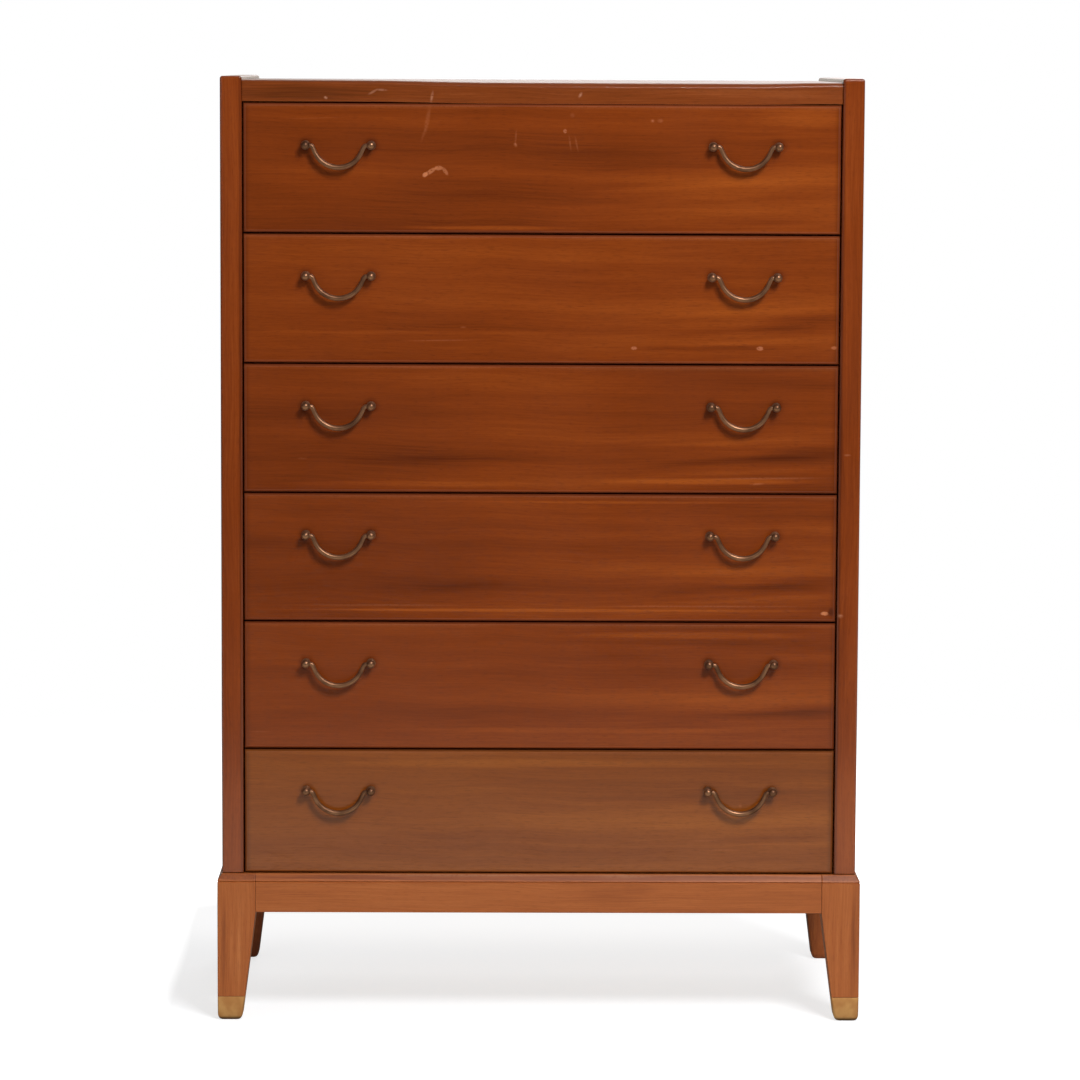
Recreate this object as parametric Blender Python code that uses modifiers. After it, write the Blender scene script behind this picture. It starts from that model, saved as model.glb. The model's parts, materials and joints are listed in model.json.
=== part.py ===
"""A tall mahogany chest of six drawers, built as its separate pieces.

Sizes are in metres and +Z is up. The front faces -Y. The origin is on the floor, in the middle of
the whole chest with its handles. Drawer 1 is the top one, and left is the side of -X.
"""

import math

import bmesh
import bpy

# Case
case_width = 0.820
case_depth = 0.420
side_thickness = 0.028
side_arris = 0.0035
top_thickness = 0.027
top_set_down = 0.0048
top_arris = 0.0065
bottom_thickness = 0.012
back_thickness = 0.008
back_inset = 0.002
rebate_width = 0.014
top_rebate_height = 0.015

# Base and legs
leg_height = 0.192
leg_width = 0.0495
foot_width = 0.0315
foot_chamfer = 0.0015
apron_height = 0.050
apron_thickness = 0.022
glue_block = 0.075
base_overhang = 0.006
base_slope_height = 0.008
cap_height = 0.031
cap_wall = 0.0016

# Drawers
drawer_count = 6
front_height = 0.1641
lowest_front_height = 0.1604
front_thickness = 0.020
front_arris = 0.0016
front_recess = 0.003
gap_between_fronts = 0.002
gap_under_lowest = 0.0015
gap_beside_front = 0.0016
gap_beside_box = 0.001
gap_behind_box = 0.012
gap_behind_front = 0.003
box_rise = 0.015
box_drop = 0.016
box_wall = 0.012
box_bottom = 0.006
box_bottom_rise = 0.008
runner_width = 0.007
runner_height = 0.014
runner_rise = 0.072
runner_root = 0.005
runner_set_back = 0.020
runner_play = 0.0006

# Handles
handle_from_end = 0.1209
post_spacing = 0.0836
post_below_top = 0.0533
post_stand_off = 0.011
head_radius = 0.0055
neck_radius = 0.003
rose_radius = 0.006
rose_thickness = 0.0016
rose_shoulder = 0.0008
shank_radius = 0.002
shank_hole_radius = 0.0025
nut_radius = 0.005
nut_thickness = 0.004
pin_radius = 0.0015
pin_hole_radius = 0.0019
pin_end_play = 0.0005
bail_radius = 0.0033
bail_end_radius = 0.0027
bail_drop = 0.028
bail_shoulder_radius = 0.0045
bail_splay = math.radians(66)

# Facets
turning_steps = 8
head_rings = 5
bow_steps = 5
shoulder_steps = 3
arris_steps = 2
smooth_angle = math.radians(40)

# Clearance between pieces that touch on the real chest
seat_gap = 0.0003

# How far a cutter runs past what it cuts, and how near loose points are joined
cutter_reach = 0.020
merge_distance = 0.000001

# Places worked out from the sizes
handle_reach = post_stand_off + head_radius - front_recess
overall_depth = case_depth + max(handle_reach, base_overhang)
rear_y = overall_depth / 2
front_y = rear_y - case_depth
front_face_y = front_y + front_recess
front_back_y = front_face_y + front_thickness
back_front_y = rear_y - back_inset - back_thickness
half_width = case_width / 2
inner_half = half_width - side_thickness
lowest_front_z = leg_height + gap_under_lowest
front_pitch = front_height + gap_between_fronts
top_under_z = lowest_front_z + lowest_front_height + gap_between_fronts + (drawer_count - 1) * front_pitch
top_z = top_under_z + top_thickness
case_top_z = top_z + top_set_down
apron_under_z = leg_height - apron_height
base_half = half_width + base_overhang
base_front_y = front_y - base_overhang
box_half = inner_half - gap_beside_box
box_front_y = front_back_y + seat_gap
box_rear_y = back_front_y - gap_behind_box
runner_front_y = front_back_y + runner_set_back
groove_depth = runner_width - gap_beside_box + runner_play
handle_offset = inner_half - gap_beside_front - handle_from_end
bail_end = post_spacing / 2 - math.sqrt(head_radius**2 - pin_hole_radius**2) - seat_gap


def clear_scene():
    for obj in list(bpy.data.objects):
        bpy.data.objects.remove(obj)


def linear(value):
    """A colour channel from 0 to 255 as the linear value that a shader takes."""
    share = value / 255
    return share / 12.92 if share <= 0.04045 else ((share + 0.055) / 1.055) ** 2.4


def make_material(name, red, green, blue, roughness, metallic=0.0):
    material = bpy.data.materials.new(name)
    material.use_nodes = True
    shader = material.node_tree.nodes["Principled BSDF"]
    colour = (linear(red), linear(green), linear(blue), 1.0)
    shader.inputs["Base Color"].default_value = colour
    shader.inputs["Roughness"].default_value = roughness
    shader.inputs["Metallic"].default_value = metallic
    material.diffuse_color = colour
    return material


def make_collection(name):
    collection = bpy.data.collections.new(name)
    bpy.context.scene.collection.children.link(collection)
    return collection


def add_piece(name, mesh, material, parent=None, location=(0, 0, 0)):
    """Adds a visible piece, with its own name and material."""
    if material.name not in mesh.materials:
        mesh.materials.append(material)
    obj = bpy.data.objects.new(name, mesh)
    pieces.objects.link(obj)
    obj.parent = parent
    obj.location = location
    return obj


def add_cutter(name, mesh):
    """Adds a hidden helper that a Boolean modifier reads."""
    obj = bpy.data.objects.new(name, mesh)
    cutters.objects.link(obj)
    obj.hide_render = True
    obj.display_type = "WIRE"
    return obj


def add_boolean(obj, cutter, operation="DIFFERENCE"):
    modifier = obj.modifiers.new(cutter.name, "BOOLEAN")
    modifier.operation = operation
    modifier.object = cutter


def add_empty(name, location):
    obj = bpy.data.objects.new(name, None)
    pieces.objects.link(obj)
    obj.location = location
    return obj


def finish_mesh(form, name):
    """Turns a bmesh into a named mesh and frees it."""
    mesh = bpy.data.meshes.new(name)
    form.to_mesh(mesh)
    form.free()
    return mesh


def add_box(form, low, high):
    """Adds a box between two corners to a bmesh."""
    for vertex in bmesh.ops.create_cube(form, size=1)["verts"]:
        for axis in range(3):
            vertex.co[axis] = low[axis] if vertex.co[axis] < 0 else high[axis]


def box_mesh(name, *boxes):
    """A mesh of one or more separate boxes, each given by its low and high corner."""
    form = bmesh.new()
    for low, high in boxes:
        add_box(form, low, high)
    return finish_mesh(form, name)


def rounded_box_mesh(name, low, high, radius, is_rounded):
    """A box whose edges are rounded where is_rounded says so of both ends of the edge."""
    form = bmesh.new()
    add_box(form, low, high)
    edges = [edge for edge in form.edges if all(is_rounded(vertex.co) for vertex in edge.verts)]
    bmesh.ops.bevel(
        form,
        geom=edges,
        offset=radius,
        offset_type="OFFSET",
        segments=arris_steps,
        profile=0.5,
        affect="EDGES",
        clamp_overlap=True,
    )
    return finish_mesh(form, name)


def loft_mesh(name, sections):
    """A closed body through rectangular sections, each (z, low_x, high_x, low_y, high_y), from below up."""
    form = bmesh.new()
    rings = []
    for z, low_x, high_x, low_y, high_y in sections:
        corners = ((low_x, low_y), (high_x, low_y), (high_x, high_y), (low_x, high_y))
        rings.append([form.verts.new((x, y, z)) for x, y in corners])
    for below, above in zip(rings, rings[1:]):
        for index in range(4):
            after = (index + 1) % 4
            form.faces.new((below[index], below[after], above[after], above[index]))
    form.faces.new(rings[0][::-1])
    form.faces.new(rings[-1])
    return finish_mesh(form, name)


def cylinder_along_y(form, x, z, radius, low_y, high_y):
    """Adds a closed cylinder along Y to a bmesh."""
    made = bmesh.ops.create_cone(
        form,
        cap_ends=True,
        segments=turning_steps,
        radius1=radius,
        radius2=radius,
        depth=high_y - low_y,
    )
    for vertex in made["verts"]:
        across, up, along = vertex.co
        vertex.co = (x + across, (low_y + high_y) / 2 + along, z - up)


def evaluated_mesh(obj, name):
    """The mesh of an object with its modifiers applied and its loose caps welded."""
    graph = bpy.context.evaluated_depsgraph_get()
    mesh = bpy.data.meshes.new_from_object(obj.evaluated_get(graph))
    mesh.name = name
    form = bmesh.new()
    form.from_mesh(mesh)
    bmesh.ops.remove_doubles(form, verts=form.verts, dist=merge_distance)
    form.to_mesh(mesh)
    form.free()
    return mesh


def shade_round(mesh):
    mesh.shade_smooth()
    mesh.set_sharp_from_angle(angle=smooth_angle)


def drawer_low_z(number):
    """Height of a drawer front's lower edge."""
    if number == drawer_count:
        return lowest_front_z
    above_lowest = lowest_front_z + lowest_front_height + gap_between_fronts
    return above_lowest + (drawer_count - 1 - number) * front_pitch


def drawer_height(number):
    return lowest_front_height if number == drawer_count else front_height


def runner_top_z(number):
    """Height of the upper face of a drawer's two runners, which carry it."""
    return drawer_low_z(number) + runner_rise


def make_side(name, sign, material):
    """A side panel with its rounded front edge, its back rebate and its six drawer runners."""
    inner, outer = sorted((sign * inner_half, sign * half_width))
    low = (inner, front_y, leg_height + seat_gap)
    high = (outer, rear_y, case_top_z)

    def is_rounded(point):
        return point.y < front_y + side_arris or point.z > case_top_z - side_arris

    side = add_piece(name, rounded_box_mesh(name, low, high, side_arris, is_rounded), material)
    runners = []
    for number in range(1, drawer_count + 1):
        face, root = sorted((sign * (inner_half - runner_width), sign * (inner_half + runner_root)))
        top = runner_top_z(number)
        runner_low = (face, runner_front_y, top - runner_height)
        runner_high = (root, back_front_y - seat_gap, top)
        runners.append((runner_low, runner_high))
    add_boolean(side, add_cutter(name + "_runners", box_mesh(name + "_runners", *runners)), "UNION")
    rebate_inner, rebate_outer = sorted(
        (sign * (inner_half - rebate_width), sign * (inner_half + rebate_width))
    )
    rebate_low = (rebate_inner, back_front_y, leg_height - rebate_width)
    rebate_high = (rebate_outer, rear_y + rebate_width, top_under_z + top_rebate_height)
    add_boolean(side, add_cutter(name + "_rebate", box_mesh(name + "_rebate", (rebate_low, rebate_high))))


def make_top(material):
    """The top board, set down between the sides, with a rounded front arris."""
    half = inner_half - seat_gap
    low = (-half, front_face_y, top_under_z)
    high = (half, rear_y, top_z)

    def is_rounded(point):
        return point.y < front_face_y + top_arris and point.z > top_z - top_arris

    top = add_piece("top_board", rounded_box_mesh("top_board", low, high, top_arris, is_rounded), material)
    rebate = box_mesh(
        "top_rebate",
        (
            (-case_width, back_front_y, top_under_z - top_thickness),
            (case_width, rear_y + rebate_width, top_under_z + top_rebate_height),
        ),
    )
    add_boolean(top, add_cutter("top_rebate", rebate))


def make_back(material):
    """The back panel, let into the rebates of the sides and the top."""
    half = inner_half + rebate_width - seat_gap
    low = (-half, back_front_y + seat_gap, leg_height + seat_gap)
    high = (half, rear_y - back_inset, top_under_z + top_rebate_height - seat_gap)
    add_piece("back_panel", box_mesh("back_panel", (low, high)), material)


def make_bottom(material):
    """The bottom board of the case, between the sides and behind the lowest drawer front."""
    half = inner_half - seat_gap
    low = (-half, front_back_y + gap_behind_front, leg_height + seat_gap)
    high = (half, back_front_y, leg_height + seat_gap + bottom_thickness)
    add_piece("bottom_board", box_mesh("bottom_board", (low, high)), material)


def make_base(material):
    """The four aprons with their sloped upper edge, joined behind the legs by glue blocks."""
    slope = base_overhang
    slope_z = leg_height - base_slope_height
    outline = (-base_half, base_half, base_front_y, rear_y)
    upper = (-base_half + slope, base_half - slope, base_front_y + slope, rear_y)
    sections = ((apron_under_z, *outline), (slope_z, *outline), (leg_height, *upper))
    base = add_piece("base_frame", loft_mesh("base_frame", sections), material)
    inner_x = base_half - apron_thickness
    inner_low_y = base_front_y + apron_thickness
    inner_high_y = rear_y - apron_thickness
    block_x = base_half - glue_block
    below, above = apron_under_z - leg_width, leg_height + leg_width
    across = ((-block_x, inner_low_y, below), (block_x, inner_high_y, above))
    along = (
        (-inner_x, base_front_y + glue_block, below),
        (inner_x, rear_y - glue_block, above),
    )
    for name, box in (("base_void_across", across), ("base_void_along", along)):
        add_boolean(base, add_cutter(name, box_mesh(name, box)))
    notch = leg_width + seat_gap
    for side, sign in (("left", -1), ("right", 1)):
        low_x, high_x = sorted((sign * (base_half - notch), sign * (base_half + notch)))
        for end, low_y, high_y in (
            ("front", base_front_y - notch, base_front_y + notch),
            ("rear", rear_y - notch, rear_y + notch),
        ):
            name = f"base_notch_{end}_{side}"
            box = ((low_x, low_y, below), (high_x, high_y, above))
            add_boolean(base, add_cutter(name, box_mesh(name, box)))


def leg_section(sign, is_front, z, outer_inset=0.0, inner_inset=0.0):
    """The leg's square section at a height, drawn in on its two outer and its two inner faces."""
    share = min(z / apron_under_z, 1)
    width = foot_width + (leg_width - foot_width) * share
    outer_x = sign * (base_half - outer_inset)
    inner_x = sign * (base_half - width + inner_inset)
    low_x, high_x = sorted((outer_x, inner_x))
    if is_front:
        low_y = base_front_y + outer_inset
        high_y = base_front_y + width - inner_inset
    else:
        low_y = rear_y - width + inner_inset
        high_y = rear_y
    return (z, low_x, high_x, low_y, high_y)


def rear_leg_top(sign):
    """The rear leg's upper section, whose slope is on its outer side alone."""
    z, low_x, high_x, low_y, high_y = leg_section(sign, False, leg_height)
    if sign > 0:
        high_x -= base_overhang
    else:
        low_x += base_overhang
    return (z, low_x, high_x, low_y, high_y)


def tenon_sections(sign, growth):
    """The foot of a front leg inside its cap, whose floor is as thick as its walls, grown on every face."""
    inset = cap_wall + seat_gap - growth
    high = cap_height + seat_gap
    return (
        leg_section(sign, True, inset, inset, inset),
        leg_section(sign, True, high, inset, inset),
    )


def make_front_leg(side, sign, wood, metal):
    """A front leg, tapered on its inner faces, and the cap that its foot stands in."""
    slope_z = leg_height - base_slope_height
    sections = (
        *tenon_sections(sign, 0.0),
        leg_section(sign, True, cap_height + seat_gap),
        leg_section(sign, True, apron_under_z),
        leg_section(sign, True, slope_z),
        leg_section(sign, True, leg_height, outer_inset=base_overhang),
    )
    name = f"leg_front_{side}"
    add_piece(name, loft_mesh(name, sections), wood)
    name = f"leg_cap_{side}"
    outside = (
        leg_section(sign, True, 0.0, foot_chamfer, foot_chamfer),
        leg_section(sign, True, foot_chamfer),
        leg_section(sign, True, cap_height),
    )
    cap = add_piece(name, loft_mesh(name, outside), metal)
    hollow = add_cutter(name + "_hollow", loft_mesh(name + "_hollow", tenon_sections(sign, seat_gap)))
    add_boolean(cap, hollow)


def make_rear_leg(side, sign, wood):
    """A rear leg, tapered as the front ones, that stands on bare wood."""
    sections = (
        leg_section(sign, False, 0.0, foot_chamfer, foot_chamfer),
        leg_section(sign, False, foot_chamfer),
        leg_section(sign, False, apron_under_z),
        leg_section(sign, False, leg_height - base_slope_height),
        rear_leg_top(sign),
    )
    name = f"leg_rear_{side}"
    add_piece(name, loft_mesh(name, sections), wood)


def post_places():
    """Each post of a drawer as (name, x, turned), where turned faces its hole to +X."""
    half = post_spacing / 2
    for side, centre in (("left", -handle_offset), ("right", handle_offset)):
        for end, x, turned in (("a", centre - half, True), ("b", centre + half, False)):
            yield f"post_{side}_{end}", x, turned


def make_front(number, parent, material):
    """A drawer front with rounded arrises and a hole for each handle post."""
    name = f"drawer_{number}_front"
    half = inner_half - gap_beside_front
    height = drawer_height(number)
    low = (-half, 0.0, 0.0)
    high = (half, front_thickness, height)

    def is_rounded(point):
        return point.y < front_arris

    mesh = rounded_box_mesh(name, low, high, front_arris, is_rounded)
    front = add_piece(name, mesh, material, parent)
    holes = bmesh.new()
    hole_z = height - post_below_top
    hole_end = front_thickness + cutter_reach
    for _, x, _ in post_places():
        cylinder_along_y(holes, x, hole_z, shank_hole_radius, -cutter_reach, hole_end)
    cutter = add_cutter(name + "_holes", finish_mesh(holes, name + "_holes"))
    cutter.parent = parent
    add_boolean(front, cutter)


def make_box(number, parent, material):
    """The drawer's box: two grooved sides, a back and a bottom, open at the front and the top."""
    name = f"drawer_{number}_box"
    low_y = box_front_y - front_face_y
    high_y = box_rear_y - front_face_y
    high_z = drawer_height(number) - box_drop
    box = add_piece(
        name,
        box_mesh(name, ((-box_half, low_y, box_rise), (box_half, high_y, high_z))),
        material,
        parent,
    )
    inside = box_half - box_wall
    bottom_z = box_rise + box_bottom_rise
    groove_top = runner_rise + seat_gap
    groove_low = runner_rise - runner_height - runner_play
    groove_x = box_half - groove_depth
    outer_x = box_half + cutter_reach
    front_end = low_y - cutter_reach
    rear_end = high_y + cutter_reach
    back_face = high_y - box_wall
    over = high_z + cutter_reach
    under = box_rise - cutter_reach
    cuts = {
        "space": ((-inside, front_end, bottom_z + box_bottom), (inside, back_face, over)),
        "under": ((-inside, front_end, under), (inside, back_face, bottom_z)),
        "groove_left": ((-outer_x, front_end, groove_low), (-groove_x, rear_end, groove_top)),
        "groove_right": ((groove_x, front_end, groove_low), (outer_x, rear_end, groove_top)),
    }
    for cut, corners in cuts.items():
        cutter = add_cutter(f"{name}_{cut}", box_mesh(f"{name}_{cut}", corners))
        cutter.parent = parent
        add_boolean(box, cutter)


def post_profile():
    """The turned outline of a post from its front end back, as (radius, distance before the pivot)."""
    neck_angle = math.pi - math.asin(neck_radius / head_radius)
    angles = [neck_angle * step / head_rings for step in range(head_rings + 1)]
    outline = [(head_radius * math.sin(angle), head_radius * math.cos(angle)) for angle in angles]
    face = -post_stand_off
    nut_face = face - front_thickness - seat_gap
    outline += [
        (neck_radius, face + rose_thickness + rose_shoulder),
        (rose_radius, face + rose_thickness),
        (rose_radius, face + seat_gap),
        (shank_radius, face + seat_gap),
        (shank_radius, nut_face),
        (nut_radius, nut_face),
        (nut_radius, nut_face - nut_thickness),
        (0.0, nut_face - nut_thickness),
    ]
    return outline


def make_post_mesh():
    """One post with its ball head, neck, rose, shank and nut, and the blind hole for the bail's pin."""
    outline = post_profile()
    mesh = bpy.data.meshes.new("post_outline")
    links = [(index, index + 1) for index in range(len(outline) - 1)]
    mesh.from_pydata([(radius, 0.0, z) for radius, z in outline], links, [])
    turned = add_cutter("post_outline", mesh)
    screw = turned.modifiers.new("turning", "SCREW")
    screw.axis = "Z"
    screw.angle = 2 * math.pi
    screw.steps = screw.render_steps = turning_steps
    screw.use_merge_vertices = True
    screw.merge_threshold = merge_distance
    form = bmesh.new()
    made = bmesh.ops.create_cone(
        form,
        cap_ends=True,
        segments=turning_steps,
        radius1=pin_hole_radius,
        radius2=pin_hole_radius,
        depth=2 * head_radius,
    )
    for vertex in made["verts"]:
        across, up, along = vertex.co
        vertex.co = (along - head_radius, across, up)
    add_boolean(turned, add_cutter("post_hole", finish_mesh(form, "post_hole")))
    mesh = evaluated_mesh(turned, "post")
    shade_round(mesh)
    return mesh


def bail_half_line():
    """The bail from the middle of its bow to its pin's end, as (x, z, radius)."""
    turn = math.tan(bail_splay / 2)
    bow_radius = (bail_end - bail_drop / math.tan(bail_splay)) / turn - bail_shoulder_radius
    line = []
    for step in range(bow_steps + 1):
        angle = bail_splay * step / bow_steps
        x = bow_radius * math.sin(angle)
        z = bow_radius * (1 - math.cos(angle)) - bail_drop
        line.append((x, z, bail_radius))
    start_x = bail_end - bail_shoulder_radius * math.sin(bail_splay)
    start_z = -bail_shoulder_radius * (1 - math.cos(bail_splay))
    for step in range(shoulder_steps + 1):
        angle = bail_splay * (1 - step / shoulder_steps)
        x = start_x + bail_shoulder_radius * (math.sin(bail_splay) - math.sin(angle))
        z = start_z + bail_shoulder_radius * (math.cos(angle) - math.cos(bail_splay))
        line.append((x, z, bail_end_radius))
    line.append((bail_end + seat_gap / 2, 0.0, pin_radius))
    line.append((post_spacing / 2 - pin_end_play, 0.0, pin_radius))
    return line


def make_bail_mesh():
    """The drop handle: a bow on two splayed arms, whose ends turn out into pins."""
    half = bail_half_line()
    line = [(-x, z, radius) for x, z, radius in reversed(half[1:])] + half
    curve = bpy.data.curves.new("bail_line", "CURVE")
    curve.dimensions = "3D"
    curve.bevel_depth = bail_radius
    curve.bevel_resolution = 2
    curve.use_fill_caps = True
    spline = curve.splines.new("POLY")
    spline.points.add(len(line) - 1)
    for point, (x, z, radius) in zip(spline.points, line):
        point.co = (x, 0.0, z, 1.0)
        point.radius = radius / bail_radius
    guide = add_cutter("bail_line", curve)
    mesh = evaluated_mesh(guide, "bail")
    bpy.data.objects.remove(guide)
    shade_round(mesh)
    return mesh


def make_handles(number, parent, post_mesh, bail_mesh, metal):
    """The four posts and the two bails of one drawer, placed on their pivots."""
    pivot_y = -post_stand_off
    pivot_z = drawer_height(number) - post_below_top
    for name, x, turned in post_places():
        post = add_piece(f"drawer_{number}_{name}", post_mesh, metal, parent, (x, pivot_y, pivot_z))
        post.rotation_euler = (math.pi / 2, math.pi if turned else 0.0, 0.0)
    for side, x in (("left", -handle_offset), ("right", handle_offset)):
        add_piece(f"drawer_{number}_bail_{side}", bail_mesh, metal, parent, (x, pivot_y, pivot_z))


def make_case():
    case_wood = make_material("mahogany_case", 126, 60, 28, 0.38)
    top_wood = make_material("mahogany_top", 118, 58, 30, 0.25)
    base_wood = make_material("mahogany_base", 162, 93, 54, 0.42)
    inner_wood = make_material("pale_inner_wood", 186, 148, 100, 0.65)
    cap_metal = make_material("cap_brass", 176, 132, 80, 0.4, 1.0)
    make_side("side_left", -1, case_wood)
    make_side("side_right", 1, case_wood)
    make_top(top_wood)
    make_back(inner_wood)
    make_bottom(inner_wood)
    make_base(base_wood)
    for side, sign in (("left", -1), ("right", 1)):
        make_front_leg(side, sign, base_wood, cap_metal)
        make_rear_leg(side, sign, base_wood)


def make_drawers():
    front_wood = make_material("mahogany_front", 126, 58, 24, 0.35)
    box_wood = make_material("drawer_box_wood", 190, 152, 104, 0.6)
    handle_metal = make_material("handle_bronze", 112, 74, 52, 0.42, 1.0)
    post_mesh = make_post_mesh()
    bail_mesh = make_bail_mesh()
    for number in range(1, drawer_count + 1):
        slide = add_empty(f"drawer_{number}_slide", (0.0, front_face_y, drawer_low_z(number)))
        make_front(number, slide, front_wood)
        make_box(number, slide, box_wood)
        make_handles(number, slide, post_mesh, bail_mesh, handle_metal)


clear_scene()
pieces = make_collection("chest_of_drawers")
cutters = make_collection("cutters")
make_case()
make_drawers()
bpy.context.view_layer.update()
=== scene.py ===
"""Looks of a tall mahogany chest of six drawers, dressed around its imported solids.

The frame is in metres with +Z up, and the front faces -Y. Drawer 1 is the top one, and left is the
side of -X. Each sub-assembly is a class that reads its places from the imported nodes, builds its
pieces there and dresses them. The finishes are procedural and lie in the row frame's coordinates.
"""

import json
import logging
import math
from collections.abc import Callable, Iterable, Sequence
from dataclasses import dataclass, replace
from enum import Enum
from typing import Self

import bmesh
import bpy
from mathutils import Matrix, Vector


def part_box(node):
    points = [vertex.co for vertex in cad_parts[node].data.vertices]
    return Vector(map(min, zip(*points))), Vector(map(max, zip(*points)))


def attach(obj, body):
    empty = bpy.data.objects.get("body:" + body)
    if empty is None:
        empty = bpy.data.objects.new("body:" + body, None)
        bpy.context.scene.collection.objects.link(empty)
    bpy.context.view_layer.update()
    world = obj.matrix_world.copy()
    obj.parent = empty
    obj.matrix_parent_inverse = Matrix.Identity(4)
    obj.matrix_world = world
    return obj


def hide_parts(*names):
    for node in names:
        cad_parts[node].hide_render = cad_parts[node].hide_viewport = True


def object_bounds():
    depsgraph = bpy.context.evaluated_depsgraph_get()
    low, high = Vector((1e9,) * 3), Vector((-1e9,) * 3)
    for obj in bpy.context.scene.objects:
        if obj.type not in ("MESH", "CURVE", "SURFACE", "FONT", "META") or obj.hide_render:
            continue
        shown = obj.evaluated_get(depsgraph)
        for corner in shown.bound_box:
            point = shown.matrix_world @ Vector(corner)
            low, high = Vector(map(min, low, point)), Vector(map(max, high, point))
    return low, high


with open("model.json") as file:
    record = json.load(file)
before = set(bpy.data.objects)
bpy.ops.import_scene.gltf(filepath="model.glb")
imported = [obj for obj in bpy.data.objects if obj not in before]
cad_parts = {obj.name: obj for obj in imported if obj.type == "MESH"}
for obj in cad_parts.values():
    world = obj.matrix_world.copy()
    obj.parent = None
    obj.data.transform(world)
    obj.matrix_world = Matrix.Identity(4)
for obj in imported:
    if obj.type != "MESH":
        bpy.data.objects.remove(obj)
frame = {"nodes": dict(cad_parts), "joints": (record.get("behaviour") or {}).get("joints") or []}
cad_low, cad_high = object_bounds()
log = logging.getLogger("chest_of_drawers")

Colour = tuple[float, float, float, float]
Point = tuple[float, float, float]
Value = float | bpy.types.NodeSocket

HAIR = 1e-5
DRAWER_COUNT = 6
WHITE: Colour = (1.0, 1.0, 1.0, 1.0)

# The place of a wood's common colour between its darkest and its palest
COMMON_TONE = 0.5

# How many lumps to a metre a noise has along, across and into a board, or along X, Y and Z
RIBBON_LUMPS = (1.3, 34.0, 34.0)
FIBRE_LUMPS = (14.0, 520.0, 520.0)
PORE_LUMPS = (90.0, 1500.0, 1500.0)
POLISH_LUMPS = (9.0, 9.0, 14.0)
RAGGED_LUMPS = (300.0, 300.0, 420.0)
UNEVEN_LUMPS = (7.0, 7.0, 7.0)
SWAY_LUMPS = (2.6, 2.6, 2.6)
FLOOR_LUMPS = (3.0, 3.0, 3.0)

# From which value to which value of a noise something comes in
PORE_SPAN = (0.56, 0.70)
RAGGED_SPAN = (0.22, 0.52)
UNEVEN_SPAN = (0.35, 0.65)
PATINA_SPAN = (0.30, 0.62)
PIT_SPAN = (0.58, 0.74)
CLOUD_SPAN = (0.3, 0.7)

# From how far upwards and how far forwards a face looks as an upper or a front one
UPWARD_SPAN = (0.4, 0.9)
FORWARD_SPAN = (-0.6, -0.2)

# How far the grain sways, and how deep the relief of a wood and of a metal goes, in metres
SWAY = 0.016
WOOD_DEPTH = 0.0002
METAL_DEPTH = 0.0001


def seen(red: int, green: int, blue: int) -> Colour:
    """Turns a colour as it is seen into what a shader takes.

    Args:
        red: The red channel, from 0 to 255.
        green: The green channel.
        blue: The blue channel.

    Returns:
        The linear colour, opaque.
    """

    def linear(channel: int) -> float:
        """Takes one channel out of the screen's curve."""
        share = channel / 255
        return share / 12.92 if share <= 0.04045 else ((share + 0.055) / 1.055) ** 2.4

    return linear(red), linear(green), linear(blue), 1.0


class Side(Enum):
    """The two sides of the chest, each with the sign of X there."""

    LEFT = -1
    RIGHT = 1

    @property
    def word(self) -> str:
        """The side's name as pieces carry it."""
        return self.name.lower()


class Axis(Enum):
    """An axis of the row frame, by its index."""

    X = 0
    Y = 1
    Z = 2


class Grain(Enum):
    """How a board's grain lies: the axes along it, across it and into the board."""

    ALONG_X = (0, 2, 1)
    ALONG_Y = (1, 2, 0)
    ALONG_Z = (2, 0, 1)


@dataclass(frozen=True)
class Box:
    """The lowest and the highest corner of something at rest."""

    low: Vector
    high: Vector

    @classmethod
    def of(cls, node: str) -> Self:
        """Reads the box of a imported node.

        Args:
            node: The node's name.

        Returns:
            Its box in the row frame.
        """
        return cls(*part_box(node))

    @property
    def centre(self) -> Vector:
        """The middle of the box."""
        return (self.low + self.high) / 2


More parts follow.
